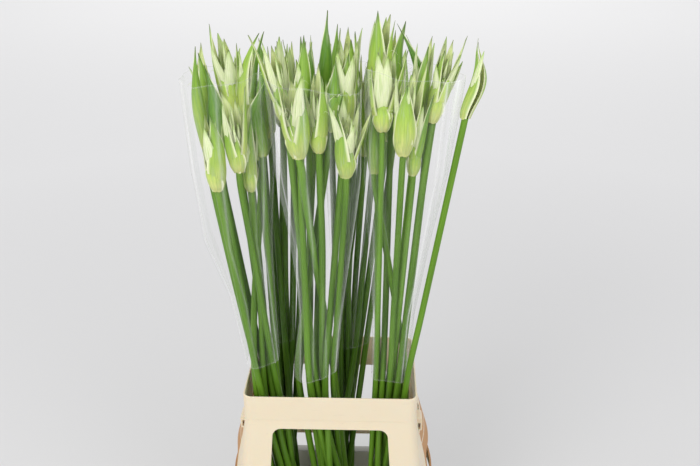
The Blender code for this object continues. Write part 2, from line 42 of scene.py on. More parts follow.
cameraSetup = {
    "place": (0.0287, -1.1160, 1.1710),
    "pitch": 66.4,      # degrees from straight down
    "turn": 1.6,        # degrees round the object, the holder stands a little askew
    "lens": 41.14,      # on a 36 mm wide sensor
}


def makeCamera(setup):
    lens = bpy.data.cameras.new("studioCamera")
    lens.sensor_width = 36.0
    lens.lens = setup["lens"]
    lens.clip_start = 0.05
    lens.clip_end = 200.0
    camera = bpy.data.objects.new("studioCamera", lens)
    turned = Matrix.Rotation(math.radians(setup["turn"]), 4, "Z")
    camera.location = turned @ Vector(setup["place"])
    camera.rotation_euler = (turned @ Matrix.Rotation(math.radians(setup["pitch"]), 4, "X")).to_euler()
    bpy.context.scene.collection.objects.link(camera)
    bpy.context.scene.camera = camera


makeCamera(cameraSetup)
print("camera placed")


# small helpers for node trees

def addNode(tree, kind, links=None, **values):
    # One shader node; links maps an input to another node's output, values set its properties
    node = tree.nodes.new("ShaderNode" + kind)
    for name, value in values.items():
        setattr(node, name, value)
    for name, source in (links or {}).items():
        socket = node.inputs[name]
        if hasattr(source, "is_output"):
            tree.links.new(source, socket)
        else:
            socket.default_value = source
    return node


def newMaterial(name, **sockets):
    material = bpy.data.materials.new(name)
    material.use_nodes = True
    shader = material.node_tree.nodes["Principled BSDF"]
    for socket, value in sockets.items():
        shader.inputs[socket.replace("_", " ")].default_value = value
    return material, material.node_tree, shader


def ramp(tree, source, stops):
    node = addNode(tree, "ValToRGB", {"Fac": source})
    band = node.color_ramp
    while len(band.elements) < len(stops):
        band.elements.new(0.5)
    for element, (place, colour) in zip(band.elements, stops):
        element.position = place
        element.color = (*colour, 1.0) if len(colour) == 3 else colour
    return node.outputs["Color"]


def mixColour(tree, amount, first, second, blend="MIX"):
    node = addNode(tree, "Mix", data_type="RGBA", blend_type=blend)
    for place, source in ((0, amount), (6, first), (7, second)):
        if hasattr(source, "is_output"):
            tree.links.new(source, node.inputs[place])
        else:
            node.inputs[place].default_value = source if place == 0 else (*source, 1.0)
    return node.outputs[2]


def stretched(tree, source, scale):
    return addNode(tree, "Mapping", {"Vector": source, "Scale": scale}).outputs["Vector"]


def scaled(tree, source, low, high, toLow, toHigh):
    return addNode(tree, "MapRange", {"Value": source, "From Min": low, "From Max": high,
                                      "To Min": toLow, "To Max": toHigh}).outputs["Result"]


def bumpFrom(tree, shader, height, strength, distance):
    bump = addNode(tree, "Bump", {"Height": height, "Strength": strength, "Distance": distance})
    tree.links.new(bump.outputs["Normal"], shader.inputs["Normal"])


# finishes of the flowers; "grain" runs along each organ in metres, "growth" holds
# share along, share across, tone of the flower and 1 on the inner face

stemLook = {
    "deep": (0.028, 0.088, 0.006), "fresh": (0.112, 0.262, 0.010), "pale": (0.215, 0.385, 0.045),
    "roughness": 0.40, "streak": 900.0, "lines": 0.00035,
}


def stemFinish(look):
    material, tree, shader = newMaterial("scapeSkin", Roughness=look["roughness"], Specular_IOR_Level=0.30,
                                         Subsurface_Weight=0.08, Subsurface_Radius=(0.4, 0.8, 0.1), Subsurface_Scale=0.002)
    grain = addNode(tree, "Attribute", attribute_name="grain").outputs["Vector"]
    growth = addNode(tree, "SeparateColor", {"Color": addNode(tree, "Attribute", attribute_name="growth").outputs["Color"]})
    fine = addNode(tree, "TexNoise", {"Vector": stretched(tree, grain, (look["streak"], look["streak"], 14.0)),
                                      "Scale": 1.0, "Detail": 3.0, "Roughness": 0.6}).outputs["Fac"]
    broad = addNode(tree, "TexNoise", {"Vector": stretched(tree, grain, (60.0, 60.0, 9.0)), "Scale": 1.0,
                                       "Detail": 2.0}).outputs["Fac"]
    # The stem's tone mixes fresh towards deep green; for the rear stems that deeper green is painted shade.
    body = mixColour(tree, growth.outputs["Blue"], look["fresh"], look["deep"])
    streaks = mixColour(tree, scaled(tree, fine, 0.35, 0.75, 0.0, 0.55), body, look["pale"])
    patches = mixColour(tree, scaled(tree, broad, 0.4, 0.8, 0.0, 0.45), streaks, look["deep"])
    top = scaled(tree, growth.outputs["Red"], 0.82, 1.0, 0.0, 0.30)
    colour = mixColour(tree, top, patches, look["pale"])
    tree.links.new(colour, shader.inputs["Base Color"])
    bumpFrom(tree, shader, fine, 0.45, look["lines"])
    return material


spatheLook = {
    "pale": [(0.00, (0.60, 0.61, 0.22)), (0.14, (0.66, 0.70, 0.25)), (0.36, (0.56, 0.69, 0.15)),
             (0.60, (0.40, 0.60, 0.08)), (0.86, (0.30, 0.48, 0.07)), (1.00, (0.09, 0.18, 0.03))],
    "green": [(0.00, (0.40, 0.50, 0.14)), (0.12, (0.21, 0.40, 0.04)), (0.45, (0.11, 0.29, 0.015)),
              (0.85, (0.07, 0.20, 0.02)), (1.00, (0.03, 0.08, 0.015))],
    "edge": (0.85, 0.89, 0.57), "inner": (0.70, 0.78, 0.36), "vein": (0.13, 0.28, 0.02), "tip": (0.06, 0.13, 0.02),
    "roughness": 0.48,
}


def spatheFinish(look):
    material, tree, shader = newMaterial("spathePaper", Roughness=look["roughness"], Specular_IOR_Level=0.30,
                                         Subsurface_Weight=0.14, Subsurface_Radius=(0.8, 1.0, 0.2), Subsurface_Scale=0.003)
    grain = addNode(tree, "Attribute", attribute_name="grain").outputs["Vector"]
    source = addNode(tree, "Attribute", attribute_name="growth")
    growth = addNode(tree, "SeparateColor", {"Color": source.outputs["Color"]})
    along, across, tone = growth.outputs["Red"], growth.outputs["Green"], growth.outputs["Blue"]
    fine = addNode(tree, "TexNoise", {"Vector": stretched(tree, grain, (640.0, 640.0, 16.0)), "Scale": 1.0,
                                      "Detail": 4.0, "Roughness": 0.6}).outputs["Fac"]
    broad = addNode(tree, "TexNoise", {"Vector": stretched(tree, grain, (260.0, 260.0, 22.0)), "Scale": 1.0,
                                       "Detail": 2.0}).outputs["Fac"]
    waved = addNode(tree, "Math", {0: along, 1: scaled(tree, broad, 0.0, 1.0, -0.10, 0.10)}, operation="ADD")
    pale = ramp(tree, waved.outputs[0], look["pale"])
    green = ramp(tree, waved.outputs[0], look["green"])
    patch = addNode(tree, "Math", {0: tone, 1: scaled(tree, broad, 0.42, 0.72, -0.10, 0.38)}, operation="ADD", use_clamp=True)
    body = mixColour(tree, patch.outputs[0], pale, green)
    veined = mixColour(tree, scaled(tree, fine, 0.48, 0.70, 0.0, 0.50), body, look["vein"])
    patched = mixColour(tree, scaled(tree, broad, 0.50, 0.78, 0.0, 0.40), veined, look["edge"])
    edged = mixColour(tree, scaled(tree, across, 0.72, 0.92, 0.0, 0.95), patched, look["edge"])
    glow = mixColour(tree, scaled(tree, broad, 0.42, 0.72, 0.0, 0.8), look["inner"], look["edge"])
    lined = mixColour(tree, scaled(tree, fine, 0.44, 0.72, 0.0, 0.55), glow, look["vein"])
    colour = mixColour(tree, source.outputs["Alpha"], edged, lined)
    tipped = mixColour(tree, scaled(tree, along, 0.88, 1.0, 0.0, 0.75), colour, look["tip"])
    tree.links.new(tipped, shader.inputs["Base Color"])
    bumpFrom(tree, shader, fine, 0.50, 0.0004)
    return material


budLook = {
    "foot": (0.56, 0.65, 0.21), "belly": (0.78, 0.84, 0.52), "tip": (0.34, 0.53, 0.11), "roughness": 0.42,
}


def budFinish(look):
    material, tree, shader = newMaterial("budSkin", Roughness=look["roughness"], Specular_IOR_Level=0.35, Subsurface_Weight=0.18,
                                         Subsurface_Radius=(0.8, 1.0, 0.5), Subsurface_Scale=0.003)
    grain = addNode(tree, "Attribute", attribute_name="grain").outputs["Vector"]
    growth = addNode(tree, "SeparateColor", {"Color": addNode(tree, "Attribute", attribute_name="growth").outputs["Color"]})
    fine = addNode(tree, "TexNoise", {"Vector": stretched(tree, grain, (620.0, 620.0, 24.0)), "Scale": 1.0,
                                      "Detail": 3.0}).outputs["Fac"]
    body = ramp(tree, growth.outputs["Red"], [(0.0, look["foot"]), (0.30, look["belly"]), (0.80, look["belly"]),
                                              (1.0, look["tip"])])
    lined = mixColour(tree, scaled(tree, fine, 0.46, 0.68, 0.0, 0.75), body, look["tip"])
    tree.links.new(lined, shader.inputs["Base Color"])
    bumpFrom(tree, shader, fine, 0.35, 0.0003)
    return material


flowerFinishes = [stemFinish(stemLook), spatheFinish(spatheLook), budFinish(budLook)]
print("flower finishes made")


# flowers: read each line from its solid, then grow stem, spathe valves, bracts, buds and threads

flowerShape = {
    "stemSides": 12, "stemSteps": 5, "rows": 24, "columns": 12, "spatheThick": 0.0005,
    "bractRows": 14, "bractColumns": 4, "budSides": 8, "budRadius": 0.0029, "threadRadius": 0.00035,
}
valveShapes = {     # share of length: radius as a share of the head's, and half angle in degrees
    "shut": {"cover": [(0.0, 0.62), (0.04, 0.74), (0.16, 0.90), (0.34, 1.0), (0.52, 0.88), (0.68, 0.58), (0.80, 0.33),
                       (0.91, 0.14), (1.0, 0.03)],
             "angle": [(0.0, 150), (0.40, 138), (0.66, 112), (0.84, 78), (1.0, 50)]},
    "half": {"cover": [(0.0, 0.56), (0.04, 0.68), (0.16, 0.86), (0.34, 1.0), (0.48, 0.95), (0.62, 0.68), (0.76, 0.40),
                       (0.90, 0.17), (1.0, 0.03)],
             "angle": [(0.0, 98), (0.30, 95), (0.46, 84), (0.64, 70), (0.82, 58), (1.0, 40)]},
    "open": {"cover": [(0.0, 0.56), (0.04, 0.68), (0.16, 0.86), (0.30, 0.98), (0.44, 0.92), (0.58, 0.66), (0.74, 0.38),
                       (0.90, 0.16), (1.0, 0.03)],
             "angle": [(0.0, 98), (0.22, 94), (0.38, 82), (0.58, 66), (0.80, 54), (1.0, 36)]},
    "leaf": {"cover": [(0.0, 0.52), (0.04, 0.64), (0.16, 0.86), (0.34, 1.0), (0.52, 0.93), (0.66, 0.76), (0.80, 0.50),
                       (0.91, 0.26), (1.0, 0.03)],
             "angle": [(0.0, 84), (0.18, 76), (0.42, 64), (0.70, 56), (1.0, 40)]},
    "torn": {"cover": [(0.0, 0.60), (0.10, 0.78), (0.40, 0.94), (0.85, 1.0), (1.0, 0.98)],
             "angle": [(0.0, 40), (0.80, 38), (0.92, 28), (1.0, 12)]},
    "bract": {"cover": [(0.0, 0.22), (0.15, 0.42), (0.40, 0.58), (0.62, 0.50), (0.80, 0.32), (0.93, 0.14), (1.0, 0.02)],
              "angle": [(0.0, 95), (0.50, 80), (1.0, 55)]},
}
flowerLooks = {
    # tone 0 pale to 1 deep green; mm: raise of the head, curl of its tips to the right, bow of the whole head
    # leaves: (facing in degrees, -90 to the front; reach of the tip in mm; top as a share of the head; width; tone; curl)
    "left_01": {"tone": 0.30, "wide": 1.30, "leaves": [(-58, 2, 0.95, 1.05, 0.36, -3), (155, 5, 0.93, 0.95, 0.08, -3),
                                                       (-160, 4, 0.74, 0.60, 0.05, 0)]},
    "left_02": {"tone": 0.36, "wide": 1.20, "leaves": [(-145, 6, 0.74, 1.00, 0.50, -4), (8, 15, 1.05, 0.90, 0.10, 3),
                                                       (110, 6, 0.98, 1.00, 0.02, -11), (70, 5, 0.90, 0.80, 0.02, 2)]},
    "left_03": {"tone": 0.42, "wide": 1.05, "leaves": [(-72, 1, 0.92, 0.85, 0.46, 5), (105, 3, 1.04, 0.75, 0.10, 6),
                                                       (-165, 4, 0.66, 0.60, 0.10, 0)]},
    "left_04": {"tone": 0.62, "curl": 3, "bow": -3},
    "left_05": {"tone": 0.95, "wide": 1.35, "curl": -9, "bow": 2},
    "left_06": {"tone": 0.16, "wide": 1.25, "leaves": [(178, 15, 1.00, 1.00, 0.20, -2), (5, 13, 0.80, 0.90, 0.10, 2),
                                                       (90, 3, 0.84, 1.00, 0.00, 0), (-58, 9, 0.66, 0.70, 0.05, 3),
                                                       (-128, 9, 0.62, 0.70, 0.05, -4)]},
    "left_07": {"tone": 0.22, "wide": 1.15, "leaves": [(-150, 2, 0.96, 1.10, 0.16, 14), (-20, 4, 0.98, 0.85, 0.80, 13),
                                                       (90, 3, 0.80, 0.80, 0.00, 4)]},
    "left_08": {"tone": 0.86, "wide": 1.15, "curl": 2},
    "left_09": {"tone": 0.94, "wide": 1.30, "curl": 17, "bow": -5},
    "left_10": {"tone": 0.45, "wide": 1.10, "leaves": [(-75, 2, 0.90, 0.90, 0.50, -3), (110, 4, 1.00, 0.90, 0.20, 4)]},
    "centre_01": {"tone": 0.34, "wide": 1.40, "raise": 22,
                  "leaves": [(178, 13, 0.94, 1.00, 0.24, -3), (-26, 11, 0.78, 1.10, 0.44, 3), (95, 4, 0.88, 1.10, 0.00, 0),
                             (55, 9, 0.76, 0.70, 0.00, 3), (135, 9, 0.80, 0.70, 0.00, -4), (-128, 9, 0.50, 0.70, 0.12, -2)]},
    "centre_02": {"tone": 0.38, "wide": 1.10, "leaves": [(-38, 3, 0.90, 1.00, 0.36, 2), (160, 4, 0.94, 0.80, 0.12, -1),
                                                         (100, 2, 1.03, 0.80, 0.00, 2), (-165, 5, 0.78, 0.60, 0.08, -3)]},
    "centre_03": {"tone": 0.50, "wide": 1.20, "leaves": [(-72, 2, 1.00, 1.15, 0.46, 0), (108, 3, 0.94, 0.90, 0.10, 4)]},
    "centre_04": {"tone": 0.55, "wide": 1.15, "leaves": [(-138, 6, 0.84, 1.05, 0.58, -7), (6, 32, 0.86, 0.75, 0.05, 2),
                                                         (85, 5, 0.80, 0.90, 0.00, 3), (30, 14, 0.90, 0.65, 0.02, 2),
                                                         (125, 5, 0.74, 0.70, 0.00, -2)]},
    "centre_05": {"tone": 0.74, "wide": 1.35, "ragged": True, "curl": 3},
    "centre_06": {"tone": 0.12, "wide": 1.15, "leaves": [(-85, 3, 0.86, 1.00, 0.22, 2), (15, 9, 1.00, 0.90, 0.18, 6),
                                                         (155, 7, 0.90, 0.90, 0.10, -3), (90, 2, 0.95, 0.90, 0.00, 0)]},
    "centre_07": {"tone": 0.92, "wide": 1.15, "curl": 1},
    "centre_08": {"tone": 0.78, "curl": -3},
    "centre_09": {"tone": 0.25, "wide": 1.10, "leaves": [(-100, 3, 0.90, 0.95, 0.30, 3), (50, 4, 1.00, 0.80, 0.65, 6),
                                                         (172, 8, 0.86, 0.80, 0.10, -3)]},
    "centre_10": {"tone": 0.14, "wide": 1.20, "leaves": [(178, 20, 1.00, 0.90, 0.22, -6), (15, 13, 0.84, 0.80, 0.05, 4),
                                                         (90, 3, 0.88, 1.00, 0.00, 0), (-100, 4, 0.55, 0.90, 0.20, 0)]},
    "right_01": {"tone": 0.24, "wide": 1.25, "leaves": [(-92, 2, 0.80, 1.10, 0.20, -1), (20, 22, 1.04, 0.90, 0.06, 3),
                                                        (155, 6, 0.84, 0.90, 0.22, -2), (65, 12, 0.95, 0.80, 0.02, 3)]},
    "right_02": {"tone": 0.06, "wide": 1.20, "leaves": [(178, 14, 0.78, 0.90, 0.08, -2), (-10, 26, 0.98, 0.85, 0.14, 4),
                                                        (90, 3, 0.94, 0.90, 0.00, -2), (138, 8, 1.00, 0.65, 0.00, -2),
                                                        (48, 8, 0.86, 0.65, 0.00, 1), (-100, 5, 0.42, 0.90, 0.10, 0)]},
    "right_03": {"tone": 0.58, "wide": 1.25, "leaves": [(-35, 16, 1.02, 0.90, 0.78, 6), (140, 3, 0.84, 0.90, 0.40, 4),
                                                        (-120, 3, 0.70, 0.80, 0.45, 3)]},
    "right_04": {"tone": 0.80, "wide": 1.15, "curl": 1},
    "right_05": {"tone": 0.26, "wide": 1.25, "leaves": [(-125, 5, 1.00, 1.15, 0.34, -2), (65, 6, 0.95, 0.90, 0.08, 8),
                                                        (-22, 9, 0.90, 0.80, 0.10, 7), (178, 8, 0.70, 0.90, 0.15, -6)]},
    "right_06": {"tone": 0.50, "wide": 1.15, "leaves": [(-55, 5, 1.00, 1.10, 0.64, 13), (140, 5, 0.84, 0.90, 0.30, -2),
                                                        (85, 3, 0.90, 0.80, 0.00, 2)]},
    "right_07": {"tone": 1.00, "wide": 1.15, "curl": -14, "bow": 6},
    "right_08": {"tone": 0.46, "wide": 1.15, "leaves": [(-80, 3, 0.90, 0.95, 0.46, 3), (55, 5, 1.00, 0.90, 0.20, 6),
                                                        (172, 7, 0.80, 0.80, 0.10, -4)]},
    "right_09": {"tone": 0.16, "wide": 1.15, "leaves": [(-155, 7, 0.84, 0.90, 0.15, -2), (5, 9, 1.00, 0.80, 0.22, 7),
                                                        (90, 4, 0.95, 0.80, 0.00, 0), (-55, 10, 0.80, 0.70, 0.08, 6),
                                                        (130, 9, 0.90, 0.65, 0.08, -4)]},
    "loose_01": {"tone": 0.50, "wide": 1.15, "curl": -2, "bow": 9, "turn": -78, "slit": True},
}


def easeAlong(stops, share):
    # Smooth value at a share of the length from (share, value) stops
    places = [stop[0] for stop in stops]
    k = max(0, min(len(stops) - 2, int(np.searchsorted(places, share, side="right")) - 1))
    low, high = stops[k], stops[k + 1]
    before = stops[k - 1] if k > 0 else low
    after = stops[k + 2] if k + 2 < len(stops) else high
    span = high[0] - low[0]
    x = min(1.0, max(0.0, (share - low[0]) / span))
    slopeLow = (high[1] - before[1]) / (high[0] - before[0]) * span
    slopeHigh = (after[1] - low[1]) / (after[0] - low[0]) * span
    return ((2 * x ** 3 - 3 * x ** 2 + 1) * low[1] + (x ** 3 - 2 * x ** 2 + x) * slopeLow
            + (3 * x ** 2 - 2 * x ** 3) * high[1] + (x ** 3 - x ** 2) * slopeHigh)


def readFlower(name):
    # Level rings of the solid give the line of the stem and head, the topmost points the valve tips
    points = sorted({tuple(round(c, 5) for c in vertex.co) for vertex in nodes[name].data.vertices},
                    key=lambda point: point[2])
    levels = []
    for point in points:
        if levels and abs(levels[-1][0][2] - point[2]) < 2e-5:
            levels[-1].append(point)
        else:
            levels.append([point])
    rings = [np.mean(level, axis=0) for level in levels if len(level) == 6]
    heads = [k for k in range(1, len(rings)) if rings[k][2] - rings[k - 1][2] < 0.0012]
    cut = heads[0]
    line = [Vector(ring) for ring in rings[:cut]]
    cup = [Vector(ring) for ring in rings[cut:]]
    widest = max(max((Vector(p).xy - Vector(np.mean(level, axis=0)).xy).length for p in level)
                 for level in levels if len(level) == 6)
    top = Vector(points[-1])
    flower = {"line": line, "base": line[-1], "cup": cup, "width": widest, "top": top,
              "length": top.z - line[-1].z, "stem": (Vector(levels[0][0]).xy - line[0].xy).length}
    if len(points) < 110 and len(levels[-1]) == 1 and len(cup) >= 5:
        flower["kind"] = "shut"
    else:
        axis = (cup[-1] - flower["base"]) / (cup[-1].z - flower["base"].z)
        flower["axis"] = axis
        aside = (top - headPoint(flower, top.z)).xy
        flower["out"] = Vector((aside.x, aside.y, 0.0)).normalized()
        flower["kind"] = "open" if aside.length > 1.35 * widest else "half"
        second = [Vector(p) for p in points if p[2] > cup[-1].z + 0.01
                  and (Vector(p) - headPoint(flower, p[2])).dot(flower["out"]) < -0.25 * widest]
        flower["second"] = max(second, key=lambda point: point.z)
    return flower


def headPoint(flower, z):
    return flower["base"] + flower["axis"] * (z - flower["base"].z)


def smoothLine(points, steps):
    # Catmull-Rom line through the ring centres
    made = []
    for k in range(len(points) - 1):
        a = points[max(0, k - 1)]
        b, c = points[k], points[k + 1]
        d = points[min(len(points) - 1, k + 2)]
        for step in range(steps):
            x = step / steps
            made.append(0.5 * ((2 * b) + (c - a) * x + (2 * a - 5 * b + 4 * c - d) * x * x
                               + (3 * b - a - 3 * c + d) * x ** 3))
    made.append(points[-1].copy())
    return made


class Sprig:
    # One flower's mesh with its two point attributes
    def __init__(self):
        self.build = bmesh.new()
        self.grain = self.build.verts.layers.float_vector.new("grain")
        self.growth = self.build.verts.layers.float_color.new("growth")

    def point(self, place, grain, growth):
        vert = self.build.verts.new(place)
        vert[self.grain] = grain
        vert[self.growth] = growth
        return vert

    def face(self, corners, finish):
        made = self.build.faces.new(corners)
        made.material_index = finish
        made.smooth = True

    def skin(self, rows, finish, around=True):
        for low, high in zip(rows, rows[1:]):
            count = len(low)
            for k in range(count if around else count - 1):
                after = (k + 1) % count
                self.face((low[k], low[after], high[after], high[k]), finish)


def growStem(sprig, flower, shape, draw):
    line = smoothLine(flower["line"], shape["stemSteps"])
    oval = draw.uniform(0.90, 0.98)
    spin = draw.uniform(0.0, math.pi)
    rows = []
    for index, centre in enumerate(line):
        share = index / (len(line) - 1)
        ahead = line[min(index + 1, len(line) - 1)] - line[max(index - 1, 0)]
        side = Vector((math.cos(spin), math.sin(spin), 0.0))
        side = (side - ahead.normalized() * side.dot(ahead.normalized())).normalized()
        other = ahead.normalized().cross(side)
        radius = flower["stem"] * (1.03 - 0.10 * share)
        if index == len(line) - 1:
            radius *= 1.04
        row = []
        for k in range(shape["stemSides"]):
            angle = 2 * math.pi * k / shape["stemSides"]
            ridge = 1.0 + 0.018 * math.cos(6 * angle)
            place = centre + side * (radius * ridge * math.cos(angle)) + other * (radius * oval * ridge * math.sin(angle))
            grain = (0.006 * math.cos(angle) + flower["seed"], 0.006 * math.sin(angle), centre.z)
            row.append(sprig.point(place, grain, (share, 0.0, flower["stemTone"], 0.0)))
        rows.append(row)
    sprig.skin(rows, 0)
    sprig.face(list(reversed(rows[0])), 0)
    sprig.face(rows[-1], 0)


def growValve(sprig, flower, valve, shape):
    # A boat-shaped sheet round the head's line, closed at its rim by a thin edge
    form = valveShapes[valve["form"]]
    bract = valve["form"] == "bract"
    rows, columns = (shape["bractRows"], shape["bractColumns"]) if bract else (shape["rows"], shape["columns"])
    out = valve["out"]
    across = Vector((-out.y, out.x, 0.0))
    finish = 2 if bract else 1
    aged = 0.6 if valve["form"] == "torn" else 1.0
    outside, inside = [], []
    for row in range(rows + 1):
        share = row / rows
        height = valve["start"] + (valve["top"] - valve["start"]) * share
        centre = headPoint(flower, flower["base"].z - 0.0012 + height * (flower["length"] + 0.0012))
        late = max(0.0, (share - valve["split"]) / (1.0 - valve["split"]))
        tail = max(0.0, (share - 0.66) / 0.34) ** 2
        lean = out * (valve["foot"] + valve["reach"] * late ** valve["bend"] + valve["hook"] * tail)
        lean = lean + valve["curl"] * max(0.0, (share - 0.50) / 0.50) ** 2
        lean = lean + valve["bow"] * math.sin(math.pi * min(1.0, height)) ** 2
        radius = flower["width"] * valve["snug"] * easeAlong(form["cover"], share)
        half = math.radians(easeAlong(form["angle"], share) * valve["wrap"])
        twist = math.radians(valve["twist"]) * share ** 2
        outer, inner = [], []
        for column in range(columns + 1):
            u = 2 * column / columns - 1
            around = u * half + twist
            keel = 1.0 + 0.10 * (1 - abs(u)) ** 2 * (0.2 + share)
            wave = 0.0009 * abs(u) ** 3 * math.sin(11.0 * share + valve["phase"] + 2.0 * u) * min(1.0, 3 * share)
            ragged = 0.0008 * math.sin(5.3 * around + valve["phase"]) if row == 0 and not bract else 0.0
            direction = out * math.cos(around) + across * math.sin(around)
            grain = (u * half * flower["width"] + flower["seed"] + valve["phase"], 0.0, share * flower["length"])
            for side, thin, inward in ((outer, 0.0, 0.0), (inner, shape["spatheThick"], 1.0)):
                reach = max(0.0002, radius * keel + wave - thin)
                place = centre + lean + direction * reach
                place.z += ragged + (0.0004 if inward else 0.0)
                side.append(sprig.point(place, grain, (share * aged, abs(u), valve["tone"], inward)))
        outside.append(outer)
        inside.append(inner)
    sprig.skin(outside, finish, around=False)
    sprig.skin([list(reversed(row)) for row in inside], finish, around=False)
    rim = [row[0] for row in outside] + outside[-1][1:] + [row[-1] for row in reversed(outside[:-1])] + outside[0][-2:0:-1]
    back = [row[0] for row in inside] + inside[-1][1:] + [row[-1] for row in reversed(inside[:-1])] + inside[0][-2:0:-1]
    for k in range(len(rim)):
        after = (k + 1) % len(rim)
        sprig.face((rim[k], back[k], back[after], rim[after]), finish)


def growBud(sprig, flower, foot, tip, radius, shape, finish=2):
    # A slim spindle from foot to tip
    along = tip - foot
    side = along.orthogonal().normalized()
    other = along.normalized().cross(side)
    rows = []
    stops = [(0.0, 0.30), (0.25, 0.66), (0.50, 1.0), (0.72, 0.82), (0.90, 0.36), (1.0, 0.05)]
    for step in range(9):
        share = step / 8
        width = radius * easeAlong(stops, share)
        row = []
        for k in range(shape["budSides"]):
            angle = 2 * math.pi * k / shape["budSides"]
            ridge = 1.0 + 0.10 * math.cos(3 * angle)
            place = foot + along * share + (side * math.cos(angle) + other * math.sin(angle)) * width * ridge
            grain = (0.004 * math.cos(angle) + flower["seed"], 0.004 * math.sin(angle), share * along.length)
            row.append(sprig.point(place, grain, (share, 0.0, flower["tone"], 0.0)))
        rows.append(row)
    sprig.skin(rows, finish)
    sprig.face(list(reversed(rows[0])), finish)
    sprig.face(rows[-1], finish)


def growThread(sprig, flower, foot, out, length, shape, draw):
    # A thin pale bract that curls away from the buds
    side = Vector((-out.y, out.x, 0.0))
    bend = draw.uniform(-1.0, 1.0)
    rows = []
    steps = 14
    for step in range(steps + 1):
        share = step / steps
        centre = (foot + out * (length * 0.75 * share) + side * (bend * length * 0.45 * math.sin(2.6 * share))
                  + Vector((0.0, 0.0, length * (0.55 * math.sin(2.4 * share) - 0.25 * share))))
        width = shape["threadRadius"] * (1.0 - 0.55 * share)
        row = []
        for k in range(4):
            angle = math.pi * k / 2
            place = centre + side * (width * math.cos(angle)) + Vector((0.0, 0.0, width * math.sin(angle)))
            row.append(sprig.point(place, (flower["seed"], 0.0, share * length), (0.5, 0.0, 0.0, 0.0)))
        rows.append(row)
    sprig.skin(rows, 2)
    sprig.face(list(reversed(rows[0])), 2)
    sprig.face(rows[-1], 2)


def growHead(sprig, flower, look, shape, draw):
    kind, width, length, base = flower["kind"], flower["width"], flower["length"], flower["base"]
    curl = Vector((look.get("curl", 0) * 0.001, 0.0, 0.0))
    bow = Vector((look.get("bow", 0) * 0.001, 0.0, 0.0))
    if kind == "shut":
        flower["axis"] = (flower["top"] - base) / length
    plain = {"form": kind, "start": 0.0, "top": 1.0, "split": 0.5, "foot": 0.0, "reach": 0.0, "bend": 1.7, "hook": 0.0,
             "curl": curl, "bow": bow, "snug": 1.0, "wrap": 1.0, "tone": flower["tone"]}

    def facing(degrees):
        return Vector((math.cos(math.radians(degrees)), math.sin(math.radians(degrees)), 0.0))

    def valve(**changes):
        growValve(sprig, flower, {**plain, "twist": draw.uniform(-18, 18), "phase": draw.uniform(0, 6), **changes}, shape)

    def bud(out, top, spread, size, low=0.18, start=0.36):
        foot = headPoint(flower, base.z + low * length) + out * width * start
        tip = headPoint(flower, base.z + top * length) + out * width * spread + bow * 0.7
        growBud(sprig, flower, foot, tip, shape["budRadius"] * size, shape)

    leaves = look.get("leaves")
    if kind != "shut" and not leaves:
        leaves = [(90 * k + draw.uniform(-30, 30), draw.uniform(3, 13), draw.uniform(0.78, 1.03), draw.uniform(0.8, 1.0),
                   draw.uniform(0.0, 0.5), draw.uniform(-5, 5)) for k in range(4)]
    if leaves:
        for angle, reach, top, wide, tone, aside in leaves:
            valve(form="leaf", out=facing(angle), reach=reach * 0.001, top=top, snug=0.5 + 0.5 * wide, wrap=wide, tone=tone,
                  split=0.20, bend=1.35, curl=Vector((aside * 0.001, 0.0, 0.0)), hook=draw.uniform(-0.001, 0.002),
                  twist=draw.uniform(-10, 10))
        for angle, top in ((-90, draw.uniform(0.44, 0.58)), (90, draw.uniform(0.60, 0.74))):
            valve(form="leaf", out=facing(angle + draw.uniform(-22, 22)), reach=draw.uniform(0.001, 0.005), top=top, snug=0.95,
                  tone=max(0.0, flower["tone"] - 0.12), curl=Vector((draw.uniform(-0.004, 0.004), 0.0, 0.0)))
    elif kind == "shut" and look.get("slit"):     # the front valves gape over a pale bud
        out = facing(look["turn"])
        side = Vector((-out.y, out.x, 0.0))
        valve(out=(out * 0.10 - side).normalized(), wrap=0.52, twist=6)
        valve(out=(side - out * 0.05).normalized(), wrap=0.50, top=0.95, snug=0.98, twist=-6)
        valve(out=-out, wrap=0.42, top=0.86, snug=0.90, tone=0.3)
        bud(out, 0.86, 0.50, 1.3, low=0.24, start=0.52)
        bud((out - side * 0.5).normalized(), 0.74, 0.44, 1.2, low=0.14, start=0.40)
        return
    elif kind == "shut":
        out = facing(look.get("turn", draw.uniform(-150, -30)))
        valve(out=out)
        valve(out=-out, top=0.90, snug=0.92, wrap=0.8, tone=max(0.0, flower["tone"] - 0.25), curl=curl * 0.4)
        if look.get("ragged"):      # torn sheath of an older head standing round it
            for angle in (-150, -95, -40, 40, 120):
                valve(form="torn", out=facing(angle), top=draw.uniform(0.50, 0.54), snug=1.12, tone=flower["tone"])
            for k in range(5):
                bud(facing(72 * k), draw.uniform(0.60, 0.78), 0.5, 1.0)
        return
    bracts = 2 if kind == "half" else 4
    for k in range(bracts):
        out = facing(360 * (k + draw.uniform(-0.25, 0.25)) / bracts + 35)
        splay = draw.uniform(0.35, 0.9) if kind == "half" else draw.uniform(0.6, 1.3)
        valve(form="bract", out=out, start=0.16, top=draw.uniform(0.70, 0.98), split=0.25, foot=0.28 * width,
              reach=width * splay, bend=1.4, hook=draw.uniform(-0.002, 0.004), snug=draw.uniform(0.9, 1.25),
              curl=curl * draw.uniform(-0.3, 0.8), tone=0.1)
    count = 7 if kind == "open" else 5
    for k in range(count):
        inner = k % 3 == 2
        spread = 0.2 if inner else (0.95 if kind == "open" else 0.6) * draw.uniform(0.6, 1.15)
        bud(facing(360 * k / count + draw.uniform(-17, 17)), draw.uniform(0.58, 0.84), spread, draw.uniform(0.85, 1.2),
            start=0.15 if inner else 0.36)
    for k in range(4 if kind == "open" else 2):
        out = facing(draw.uniform(-165, -15))
        foot = headPoint(flower, base.z + draw.uniform(0.30, 0.60) * length) + out * width * 0.7
        growThread(sprig, flower, foot, out, draw.uniform(0.012, 0.024), shape, draw)


